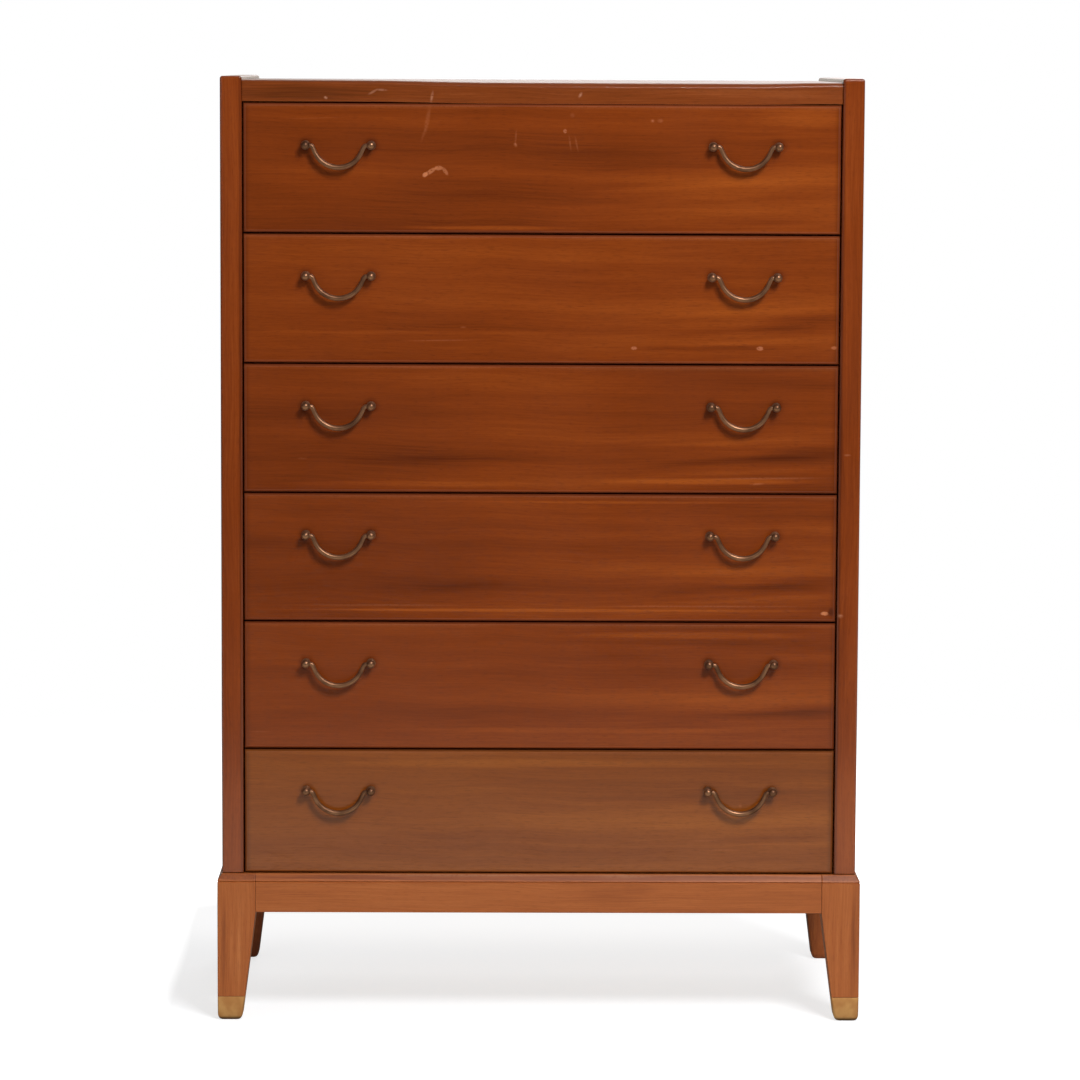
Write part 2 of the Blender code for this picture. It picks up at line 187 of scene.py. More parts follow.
class Graph:
    """Adds nodes to one node tree and links them, so that a finish reads like a formula."""

    def __init__(self, tree: bpy.types.NodeTree) -> None:
        """Keeps the tree that the nodes go into."""
        self.tree = tree

    def add(self, kind: str, inputs: dict, **settings: object) -> bpy.types.Node:
        """Adds a node.

        Args:
            kind: The node's type.
            inputs: A number, a colour or a socket for each input, by its name or index.
            **settings: The node's own properties.

        Returns:
            The node.
        """
        node = self.tree.nodes.new(kind)
        for name, setting in settings.items():
            setattr(node, name, setting)
        for name, value in inputs.items():
            self.feed(node.inputs[name], value)
        return node

    def feed(self, socket: bpy.types.NodeSocket, value: object) -> None:
        """Links a socket to an input, or sets a plain value on it."""
        if isinstance(value, bpy.types.NodeSocket):
            self.tree.links.new(value, socket)
        else:
            socket.default_value = value

    def math(self, operation: str, *values: Value) -> bpy.types.NodeSocket:
        """Works out one step of arithmetic, such as ADD or MULTIPLY."""
        return self.add("ShaderNodeMath", dict(enumerate(values)), operation=operation).outputs[0]

    def total(self, values: Iterable[Value]) -> Value:
        """Adds up numbers and sockets."""
        result: Value = 0.0
        for value in values:
            result = self.math("ADD", result, value)
        return result

    def swing(self, value: Value, amount: Value) -> bpy.types.NodeSocket:
        """Turns a noise of 0 to 1 into a change of up to the amount on both sides of zero."""
        return self.math("MULTIPLY", self.math("MULTIPLY_ADD", value, 2.0, -1.0), amount)

    def ease(
        self, value: Value, low: float, high: float, start: float = 0.0, end: float = 1.0
    ) -> bpy.types.NodeSocket:
        """Goes smoothly from one number to another.

        Args:
            value: The value that drives it.
            low: The value at which it starts.
            high: The value at which it ends.
            start: What it gives at the low value and below.
            end: What it gives at the high value and above.

        Returns:
            The number.
        """
        inputs = {"Value": value, "From Min": low, "From Max": high, "To Min": start, "To Max": end}
        return self.add("ShaderNodeMapRange", inputs, interpolation_type="SMOOTHSTEP").outputs[0]

    def stretch(self, place: bpy.types.NodeSocket, by: Point) -> bpy.types.NodeSocket:
        """Multiplies a place by a factor for each axis."""
        return self.add("ShaderNodeVectorMath", {0: place, 1: by}, operation="MULTIPLY").outputs[0]

    def noise(self, place: bpy.types.NodeSocket, by: Point, detail: float = 2.0) -> bpy.types.NodeSocket:
        """Makes a soft noise.

        Args:
            place: Where on the surface.
            by: How many lumps there are to a metre along each axis.
            detail: How many finer layers lie over it.

        Returns:
            A number from 0 to 1, mostly near a half.
        """
        inputs = {"Vector": self.stretch(place, by), "Scale": 1.0, "Detail": detail}
        return self.add("ShaderNodeTexNoise", inputs).outputs[0]

    def mix(self, share: Value, first: object, second: object) -> bpy.types.NodeSocket:
        """Mixes two colours, where a share of 1 is the second."""
        node = self.add("ShaderNodeMix", {}, data_type="RGBA")
        for index, value in ((0, share), (6, first), (7, second)):
            self.feed(node.inputs[index], value)
        return node.outputs[2]

    def ramp(self, value: Value, colours: Sequence[Colour]) -> bpy.types.NodeSocket:
        """Runs evenly through some colours as the value goes from 0 to 1."""
        node = self.add("ShaderNodeValToRGB", {0: value})
        stops = node.color_ramp.elements
        while len(stops) < len(colours):
            stops.new(0.5)
        for index, colour in enumerate(colours):
            stops[index].position = index / (len(colours) - 1)
            stops[index].color = colour
        return node.outputs[0]

    def split(self, place: bpy.types.NodeSocket) -> bpy.types.NodeOutputs:
        """Splits a place into its three numbers."""
        return self.add("ShaderNodeSeparateXYZ", {0: place}).outputs


def facing(graph: Graph) -> bpy.types.NodeSocket:
    """The way that a surface faces in the chest's frame."""
    return graph.add("ShaderNodeNewGeometry", {}).outputs["Normal"]


def new_material(name: str) -> tuple[bpy.types.Material, Graph, bpy.types.Node]:
    """Starts a material.

    Args:
        name: The material's name.

    Returns:
        The material, its graph and its shader.
    """
    material = bpy.data.materials.new(name)
    material.use_nodes = True
    return material, Graph(material.node_tree), material.node_tree.nodes["Principled BSDF"]


@dataclass(frozen=True)
class Patch:
    """A long soft spot on a board's face, such as a streak of the figure or a worn place.

    Attributes:
        x: The place of its middle from the board's origin.
        z: The height of its middle above the origin.
        half_length: Half its length.
        half_width: Half its width.
        strength: How much it shows. In a figure, a dark streak is below zero.
        turn: How far it rises to +X, in degrees.
        core: The share of it that shows in full.
    """

    x: float
    z: float
    half_length: float
    half_width: float
    strength: float
    turn: float = 0.0
    core: float = 0.0

    def mask(self, graph: Graph, place: bpy.types.NodeSocket) -> bpy.types.NodeSocket:
        """Draws the patch.

        Args:
            graph: The graph of the material.
            place: The place on the board, from its origin.

        Returns:
            Its strength in the middle, and 0 outside it.
        """
        any_depth = 100.0
        inputs = {
            "Vector": place,
            "Location": (self.x, 0.0, self.z),
            "Rotation": (0.0, -math.radians(self.turn), 0.0),
            "Scale": (self.half_length, any_depth, self.half_width),
        }
        local = graph.add("ShaderNodeMapping", inputs, vector_type="TEXTURE").outputs[0]
        away = graph.add("ShaderNodeVectorMath", {0: local}, operation="LENGTH").outputs["Value"]
        return graph.ease(away, self.core, 1.0, self.strength, 0.0)


@dataclass(frozen=True)
class Figure:
    """What one board shows beside the common grain of its wood.

    Attributes:
        grain: How the grain lies.
        origin: The point from which the grain and the patches are measured.
        leaf: How deep in the log the board was cut, so that two boards differ.
        left_gain: The strength of the ribbon at -X, where 1 is the wood's own.
        right_gain: The strength of the ribbon at +X.
        streaks: Streaks that make the wood darker or paler, some of them painted shade.
        marks: Places where the polish is worn or chipped; some also carry a painted highlight.
        rubbed: The box whose edges get wear and painted shade and highlight, or none.
    """

    grain: Grain
    origin: Point = (0.0, 0.0, 0.0)
    leaf: float = 0.0
    left_gain: float = 1.0
    right_gain: float = 1.0
    streaks: tuple[Patch, ...] = ()
    marks: tuple[Patch, ...] = ()
    rubbed: Box | None = None


@dataclass(frozen=True)
class Wood:
    """A wood with its polish.

    Attributes:
        slot: The record's material slot.
        deep: The colour of its darkest bands.
        middle: Its common colour.
        pale: The colour of its palest bands.
        worn: The colour of bare wood in a scratch, also of the painted highlight under a front's upper edge.
        ribbon: The strength of the broad bands.
        fibre: The strength of the fine lines.
        pores: How dark the open pores are.
        roughness: How matt the polish is.
        dust: How much duller its upper faces are.
        gloss: The strength of its reflections, where a half is that of glass.
        relief: How strongly the pores and fibres are felt.
        uneven: The share of the roughness by which the polish varies.
        worn_dullness: How much duller bare wood is.
        worn_depth: How deep a scratch is, where 1 is the depth of a pore.
        gloss_loss: How much gloss a rubbed edge loses as it gets duller.
    """

    slot: str
    deep: Colour
    middle: Colour
    pale: Colour
    worn: Colour
    ribbon: float = 1.0
    fibre: float = 0.5
    pores: float = 0.35
    roughness: float = 0.42
    dust: float = 0.0
    gloss: float = 0.5
    relief: float = 0.2
    uneven: float = 0.2
    worn_dullness: float = 0.25
    worn_depth: float = 1.5
    gloss_loss: float = 0.7

    def dress(self, name: str, figure: Figure) -> bpy.types.Material:
        """Makes the material of one board.

        Args:
            name: The material's name.
            figure: What the board shows.

        Returns:
            The material.
        """
        material, graph, shader = new_material(name)
        place = self.board_place(graph, figure)
        board = self.along_the_grain(graph, place, figure)
        half_width = cad_high.x
        across = graph.split(place)[Axis.X.value]
        gain = graph.ease(across, -half_width, half_width, figure.left_gain, figure.right_gain)
        ribbon = graph.swing(graph.noise(board, RIBBON_LUMPS, detail=3.0), self.ribbon)
        fibre = graph.swing(graph.noise(board, FIBRE_LUMPS), self.fibre)
        streaks = [patch.mask(graph, place) for patch in figure.streaks]
        tone = graph.total([COMMON_TONE, graph.math("MULTIPLY", ribbon, gain), fibre, *streaks])
        colour = graph.ramp(tone, (self.deep, self.middle, self.pale))
        pore = graph.ease(graph.noise(board, PORE_LUMPS, detail=1.0), *PORE_SPAN)
        colour = graph.mix(graph.math("MULTIPLY", pore, self.pores), colour, self.deep)
        # Painted shade: a front's edges are darkened where the gaps round it lie in shade.
        if figure.rubbed:
            colour = graph.mix(self.edge_grime(graph, place, figure), colour, self.deep)
        # The worn colour stands for bare wood in the marks and for a painted highlight below a front's upper
        # edge.
        wear = self.wear(graph, place, figure)
        graph.feed(shader.inputs["Base Color"], graph.mix(wear, colour, self.worn))
        cloud = graph.swing(graph.noise(place, POLISH_LUMPS, detail=3.0), self.roughness * self.uneven)
        dusty = graph.ease(graph.split(facing(graph))[Axis.Z.value], *UPWARD_SPAN, 0.0, self.dust)
        dull = self.dull_edges(graph, place, figure) if figure.rubbed else 0.0
        worn_dull = graph.math("MULTIPLY", wear, self.worn_dullness)
        graph.feed(shader.inputs["Roughness"], graph.total([self.roughness, cloud, worn_dull, dusty, dull]))
        scraped = graph.math("MULTIPLY", wear, -self.worn_depth)
        height = graph.math("ADD", graph.math("MULTIPLY_ADD", pore, -1.0, scraped), fibre)
        feel = {"Strength": self.relief, "Distance": WOOD_DEPTH, "Height": height}
        graph.feed(shader.inputs["Normal"], graph.add("ShaderNodeBump", feel).outputs[0])
        gloss: Value = self.gloss
        if figure.rubbed:
            gloss = graph.math("MULTIPLY_ADD", dull, -self.gloss_loss, gloss)
        graph.feed(shader.inputs["Specular IOR Level"], gloss)
        return material

    def board_place(self, graph: Graph, figure: Figure) -> bpy.types.NodeSocket:
        """The place on the board, measured from the figure's origin."""
        place = graph.add("ShaderNodeTexCoord", {}).outputs["Object"]
        inputs = {0: place, 1: figure.origin}
        return graph.add("ShaderNodeVectorMath", inputs, operation="SUBTRACT").outputs[0]

    def along_the_grain(
        self, graph: Graph, place: bpy.types.NodeSocket, figure: Figure
    ) -> bpy.types.NodeSocket:
        """The place as along, across and into the board, with the slow sway that real grain has."""
        parts = graph.split(place)
        along, across, depth = (parts[index] for index in figure.grain.value)
        across = graph.math("ADD", across, graph.swing(graph.noise(place, SWAY_LUMPS), SWAY))
        depth = graph.math("ADD", depth, figure.leaf)
        return graph.add("ShaderNodeCombineXYZ", {0: along, 1: across, 2: depth}).outputs[0]

    def wear(self, graph: Graph, place: bpy.types.NodeSocket, figure: Figure) -> Value:
        """The worn colour's share: bare wood in the marks, which lie in front, and a painted top highlight.

        Args:
            graph: The graph of the material.
            place: The place on the board, from its origin.
            figure: What the board shows.

        Returns:
            A share from 0 to 1.
        """
        shares: list[Value] = []
        if figure.marks:
            in_front = graph.ease(graph.split(facing(graph))[Axis.Y.value], *FORWARD_SPAN, 1.0, 0.0)
            marks = graph.total([patch.mask(graph, place) for patch in figure.marks])
            shares.append(graph.math("MULTIPLY", marks, in_front))
        # Painted highlight below a front's upper edge.
        if figure.rubbed:
            shares.append(self.rubbed_edges(graph, place, figure))
        if not shares:
            return 0.0
        ragged = graph.ease(graph.noise(place, RAGGED_LUMPS), *RAGGED_SPAN)
        worn = graph.math("MULTIPLY", graph.total(shares), ragged)
        return graph.math("MINIMUM", worn, 1.0)

    def from_edges(self, graph: Graph, place: bpy.types.NodeSocket, figure: Figure) -> tuple[Value, Value]:
        """How far a place lies above a front's lower edge and below its upper one."""
        height = graph.split(place)[Axis.Z.value]
        low = figure.rubbed.low.z - figure.origin[Axis.Z.value]
        high = figure.rubbed.high.z - figure.origin[Axis.Z.value]
        return graph.math("SUBTRACT", height, low), graph.math("SUBTRACT", high, height)

    def from_ends(self, graph: Graph, place: bpy.types.NodeSocket, figure: Figure) -> bpy.types.NodeSocket:
        """How far a place lies from the nearer end of a front."""
        across = graph.split(place)[Axis.X.value]
        from_left = graph.math("SUBTRACT", across, figure.rubbed.low.x)
        from_right = graph.math("SUBTRACT", figure.rubbed.high.x, across)
        return graph.math("MINIMUM", from_left, from_right)

    def edge_grime(self, graph: Graph, place: bpy.types.NodeSocket, figure: Figure) -> bpy.types.NodeSocket:
        """Painted gap shade: a dark line along a front's four edges, as a share from 0 to 1."""
        start, reach, end_reach, most, end_most = 0.0003, 0.0030, 0.0095, 0.80, 0.60
        nearest = graph.math("MINIMUM", *self.from_edges(graph, place, figure))
        along = graph.ease(nearest, start, reach, most, 0.0)
        upright = graph.ease(self.from_ends(graph, place, figure), start, end_reach, end_most, 0.0)
        return graph.math("MAXIMUM", along, upright)

    def dull_edges(self, graph: Graph, place: bpy.types.NodeSocket, figure: Figure) -> bpy.types.NodeSocket:
        """How much duller the polish is along a front's four edges, where hands have rubbed it."""
        start, reach, most = 0.0016, 0.0036, 0.55
        nearest = graph.math("MINIMUM", *self.from_edges(graph, place, figure))
        nearest = graph.math("MINIMUM", self.from_ends(graph, place, figure), nearest)
        return graph.ease(nearest, start, reach, most, 0.0)

    def rubbed_edges(self, graph: Graph, place: bpy.types.NodeSocket, figure: Figure) -> bpy.types.NodeSocket:
        """Painted highlight: a faint pale band just below a front's upper edge, as a share from 0 to 1."""
        start, middle, end, least, most = 0.0016, 0.0032, 0.0080, 0.03, 0.15
        below = self.from_edges(graph, place, figure)[1]
        rise = graph.ease(below, start, middle)
        fall = graph.ease(below, middle, end, 1.0, 0.0)
        uneven = graph.ease(graph.noise(place, UNEVEN_LUMPS, detail=3.0), *UNEVEN_SPAN, least, most)
        return graph.math("MULTIPLY", graph.math("MULTIPLY", rise, fall), uneven)


@dataclass(frozen=True)
class Metal:
    """An aged metal.

    Attributes:
        slot: The record's material slot.
        dark: The colour in its hollows, under the patina.
        bright: The colour where hands or floors have rubbed it.
        roughness: How matt it is.
        metallic: How much of it is bare metal.
        lumps: How many lumps of patina there are to a metre.
        relief: How strongly the surface is felt.
        dirt: The height above the floor up to which painted shade darkens it.
        soil: The colour of that painted shade.
        finer: How many times finer than the patina the pits are.
        pits: How dark the pits are.
        uneven: How much duller its hollows and brighter its rubbed places are.
    """

    slot: str
    dark: Colour
    bright: Colour
    roughness: float
    metallic: float
    lumps: float
    relief: float
    dirt: float = 0.0
    soil: Colour = seen(74, 52, 34)
    finer: float = 14.0
    pits: float = 0.3
    uneven: float = 0.05

    def dress(self, name: str) -> bpy.types.Material:
        """Makes the material.

        Args:
            name: The material's name.

        Returns:
            The material.
        """
        material, graph, shader = new_material(name)
        place = graph.add("ShaderNodeTexCoord", {}).outputs["Object"]
        cloud = graph.noise(place, (self.lumps,) * 3)
        speck = graph.noise(place, (self.lumps * self.finer,) * 3)
        colour = graph.mix(graph.ease(cloud, *PATINA_SPAN), self.dark, self.bright)
        pitted = graph.ease(speck, *PIT_SPAN, 0.0, self.pits)
        colour = graph.mix(pitted, colour, self.dark)
        # Painted shade: darker towards the floor, where the foot's underside and the floor round it lie in
        # shade.
        if self.dirt:
            most, clear = 0.85, self.dirt * 0.35
            floor_shaded = graph.ease(graph.split(place)[Axis.Z.value], clear, self.dirt, most, 0.0)
            colour = graph.mix(floor_shaded, colour, self.soil)
        graph.feed(shader.inputs["Base Color"], colour)
        duller, brighter = self.roughness + self.uneven, self.roughness - self.uneven
        graph.feed(shader.inputs["Roughness"], graph.ease(cloud, *CLOUD_SPAN, duller, brighter))
        height = graph.math("SUBTRACT", cloud, pitted)
        feel = {"Strength": self.relief, "Distance": METAL_DEPTH, "Height": height}
        graph.feed(shader.inputs["Normal"], graph.add("ShaderNodeBump", feel).outputs[0])
        shader.inputs["Metallic"].default_value = self.metallic
        return material


CASE_WOOD = Wood(
    "mahogany_case", seen(92, 36, 8), seen(128, 55, 14), seen(150, 72, 24), seen(190, 128, 90),
    ribbon=0.4, fibre=0.34, roughness=0.20, dust=0.15,
)
TOP_WOOD = Wood(
    "mahogany_top", seen(88, 40, 12), seen(122, 57, 20), seen(146, 76, 34), seen(200, 140, 104),
    ribbon=0.34, fibre=0.34, roughness=0.20, dust=0.24,
)
FRONT_WOOD = Wood(
    "mahogany_front", seen(84, 32, 6), seen(126, 54, 12), seen(154, 74, 20), seen(190, 112, 64),
    ribbon=0.40, fibre=0.20, roughness=0.20,
)
# The lowest front is painted browner, standing in for part of the floor's reflection on it
LOW_FRONT_SHEEN_WOOD = replace(
    FRONT_WOOD, deep=seen(84, 40, 10), middle=seen(125, 61, 14), pale=seen(152, 82, 24)
)
BASE_WOOD = Wood(
    "mahogany_base", seen(130, 65, 28), seen(167, 91, 42), seen(188, 113, 60), seen(205, 150, 110),
    ribbon=0.4, fibre=0.34, roughness=0.42, gloss=0.3,
)
BOX_WOOD = Wood(
    "drawer_box_wood", seen(160, 122, 78), seen(190, 152, 104), seen(206, 172, 126), seen(214, 184, 142),
    ribbon=0.7, fibre=0.35, pores=0.2, roughness=0.62, relief=0.12,
)
INNER_WOOD = Wood(
    "pale_inner_wood", seen(168, 120, 76), seen(192, 146, 98), seen(206, 166, 117), seen(212, 178, 134),
    ribbon=0.6, fibre=0.35, pores=0.25, roughness=0.68, relief=0.15,
)
BRONZE = Metal("handle_bronze", seen(98, 64, 44), seen(142, 100, 72), 0.42, 0.80, 42.0, 0.15)
# The caps are painted darker at their lower ends, as shade at the floor.
BRASS = Metal("cap_brass", seen(206, 142, 83), seen(224, 167, 104), 0.46, 0.70, 50.0, 0.2, dirt=0.0058)


class Form:
    """A mesh being made, in metres in the row frame."""

    def __init__(self) -> None:
        """Starts with nothing."""
        self.mesh = bmesh.new()

    def box(self, low: Sequence[float], high: Sequence[float]) -> Self:
        """Adds a box between two corners."""
        for vertex in bmesh.ops.create_cube(self.mesh, size=1)["verts"]:
            for axis in range(3):
                vertex.co[axis] = low[axis] if vertex.co[axis] < 0 else high[axis]
        return self

    def loft(self, rings: Sequence[Sequence[Sequence[float]]]) -> Self:
        """Adds a closed body through rings of as many points each.

        Args:
            rings: The rings in order. The last one lies beyond the first one.

        Returns:
            The form.
        """
        made = [[self.mesh.verts.new(point) for point in ring] for ring in rings]
        faces = [self.mesh.faces.new(made[0][::-1]), self.mesh.faces.new(made[-1])]
        count = len(made[0])
        for before, after in zip(made, made[1:]):
            for index in range(count):
                following = (index + 1) % count
                corners = (before[index], before[following], after[following], after[index])
                faces.append(self.mesh.faces.new(corners))
        ends = [sum((vertex.co for vertex in ring), Vector()) / count for ring in (made[0], made[-1])]
        faces[1].normal_update()
        if faces[1].normal.dot(ends[1] - ends[0]) < 0:
            bmesh.ops.reverse_faces(self.mesh, faces=faces)
        return self

    def prism(self, outline: Sequence[tuple[float, float]], axis: Axis, start: float, end: float) -> Self:
        """Adds a flat outline drawn out along an axis.

        Args:
            outline: Its points, each as the two other coordinates in their order.
            axis: The axis that it is drawn out along.
            start: Where it begins on the axis.
            end: Where it ends.

        Returns:
            The form.
        """

        def ring(at: float) -> list[Point]:
            """The outline at one place on the axis."""
            points = []
            for pair in outline:
                point = list(pair)
                point.insert(axis.value, at)
                points.append(tuple(point))
            return points

        return self.loft([ring(start), ring(end)])

    def round_edges(
        self, radius: float, steps: int, chosen: Callable[[Vector], bool] = lambda point: True
    ) -> Self:
        """Rounds each edge whose two ends are chosen.

        Args:
            radius: The radius of the rounding.
            steps: The number of faces across it.
            chosen: Says of a point whether it is chosen.

        Returns:
            The form.
        """
        sharp = math.radians(20)
        edges = [
            edge
            for edge in self.mesh.edges
            if edge.calc_face_angle(0.0) > sharp and all(chosen(vertex.co) for vertex in edge.verts)
        ]
        bmesh.ops.bevel(
            self.mesh, geom=edges, offset=radius, offset_type="OFFSET", segments=steps,
            profile=0.5, affect="EDGES", clamp_overlap=True,
        )
        return self

    def finish(self, name: str) -> bpy.types.Mesh:
        """Turns the form into a mesh, shaded smooth between its sharp edges.

        Args:
            name: The mesh's name.

        Returns:
            The mesh.
        """
        mesh = bpy.data.meshes.new(name)
        self.mesh.to_mesh(mesh)
        self.mesh.free()
        return shade(mesh)


def shade(mesh: bpy.types.Mesh) -> bpy.types.Mesh:
    """Shades a mesh smooth, and keeps its edges sharp where its faces turn further than a limit."""
    limit = math.radians(40)
    mesh.shade_smooth()
    mesh.set_sharp_from_angle(angle=limit)
    return mesh


def carved(mesh: bpy.types.Mesh, cutter: bpy.types.Mesh, operation: str = "DIFFERENCE") -> bpy.types.Mesh:
    """Cuts one mesh from another, or joins the two.

    Args:
        mesh: The mesh that is kept.
        cutter: The mesh that cuts or joins it.
        operation: DIFFERENCE or UNION.

    Returns:
        The new mesh.
    """
    blank = bpy.data.objects.new("blank", mesh)
    tool = bpy.data.objects.new("tool", cutter)
    for obj in (blank, tool):
        bpy.context.scene.collection.objects.link(obj)
    modifier = blank.modifiers.new("carving", "BOOLEAN")
    modifier.operation = operation
    modifier.object = tool
    bpy.context.view_layer.update()
    graph = bpy.context.evaluated_depsgraph_get()
    result = bpy.data.meshes.new_from_object(blank.evaluated_get(graph))
    for obj in (blank, tool):
        bpy.data.objects.remove(obj)
    return shade(result)


def add_piece(
    name: str, mesh: bpy.types.Mesh, finish: bpy.types.Material, slot: str, body: str, *nodes: str
) -> bpy.types.Object:
    """Puts a finished piece in the scene.

    Args:
        name: The piece's name.
        mesh: Its mesh, in the row frame.
        finish: Its material.
        slot: The record's material slot. Not used.
        body: The CAD body that it rides on.
        *nodes: The CAD nodes that it stands for.

    Returns:
        The piece.
    """
    mesh.materials.clear()
    mesh.materials.append(finish)
    piece = bpy.data.objects.new(name, mesh)
    bpy.context.scene.collection.objects.link(piece)
    evened = piece.modifiers.new("even shading", "WEIGHTED_NORMAL")
    evened.keep_sharp = True
    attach(piece, body)
    if nodes:
        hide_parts(*nodes)
    log.info("%s rides on %s, %d faces", name, body, len(mesh.polygons))
    return piece


def dress_node(node: str, finish: bpy.types.Material) -> None:
    """Gives a CAD node that stays visible its material."""
    materials = frame["nodes"][node].data.materials
    materials.clear()
    materials.append(finish)
    log.info("%s keeps its solid", node)


# Broad bands, painted shade and worn places of the sides' front edges, measured up from the sides' lower ends
STILE_STREAKS_AND_SHADE: dict[Side, tuple[Patch, ...]] = {
    Side.LEFT: (
        # Painted shade along the inner edge, beside the drawers
        Patch(-0.3835, 0.600, 0.0040, 2.0, -0.40, core=0.3),
        Patch(-0.396, 0.600, 0.030, 0.400, -0.10, core=0.4),
        Patch(-0.396, 0.060, 0.030, 0.110, 0.12, core=0.4),
    ),
    Side.RIGHT: (
        # Painted shade along the inner edge, beside the drawers
        Patch(0.3835, 0.600, 0.0040, 2.0, -0.40, core=0.3),
        Patch(0.396, 0.930, 0.030, 0.130, 0.14, core=0.4),
        Patch(0.396, 0.560, 0.030, 0.200, -0.12, core=0.3),
        Patch(0.396, 0.060, 0.030, 0.110, 0.28, core=0.4),
    ),
}
STILE_MARKS: dict[Side, tuple[Patch, ...]] = {
    Side.LEFT: (),
    Side.RIGHT: (
        Patch(0.3865, 0.3377, 0.0052, 0.0036, 0.40, core=0.2),
        Patch(0.3930, 0.5457, 0.0060, 0.0022, 0.22, core=0.2),
    ),
}


def side_face(side: Side) -> float:
    """The place of a side's outer face."""
    box = Box.of(f"side_{side.word}")
    return box.low.x if side is Side.LEFT else box.high.x


def bend(value: float, low: float, high: float) -> float:
    """Goes smoothly from 0 to 1 as the value goes from low to high."""
    share = min(max((value - low) / (high - low), 0.0), 1.0)
    return share * share * (3 - 2 * share)


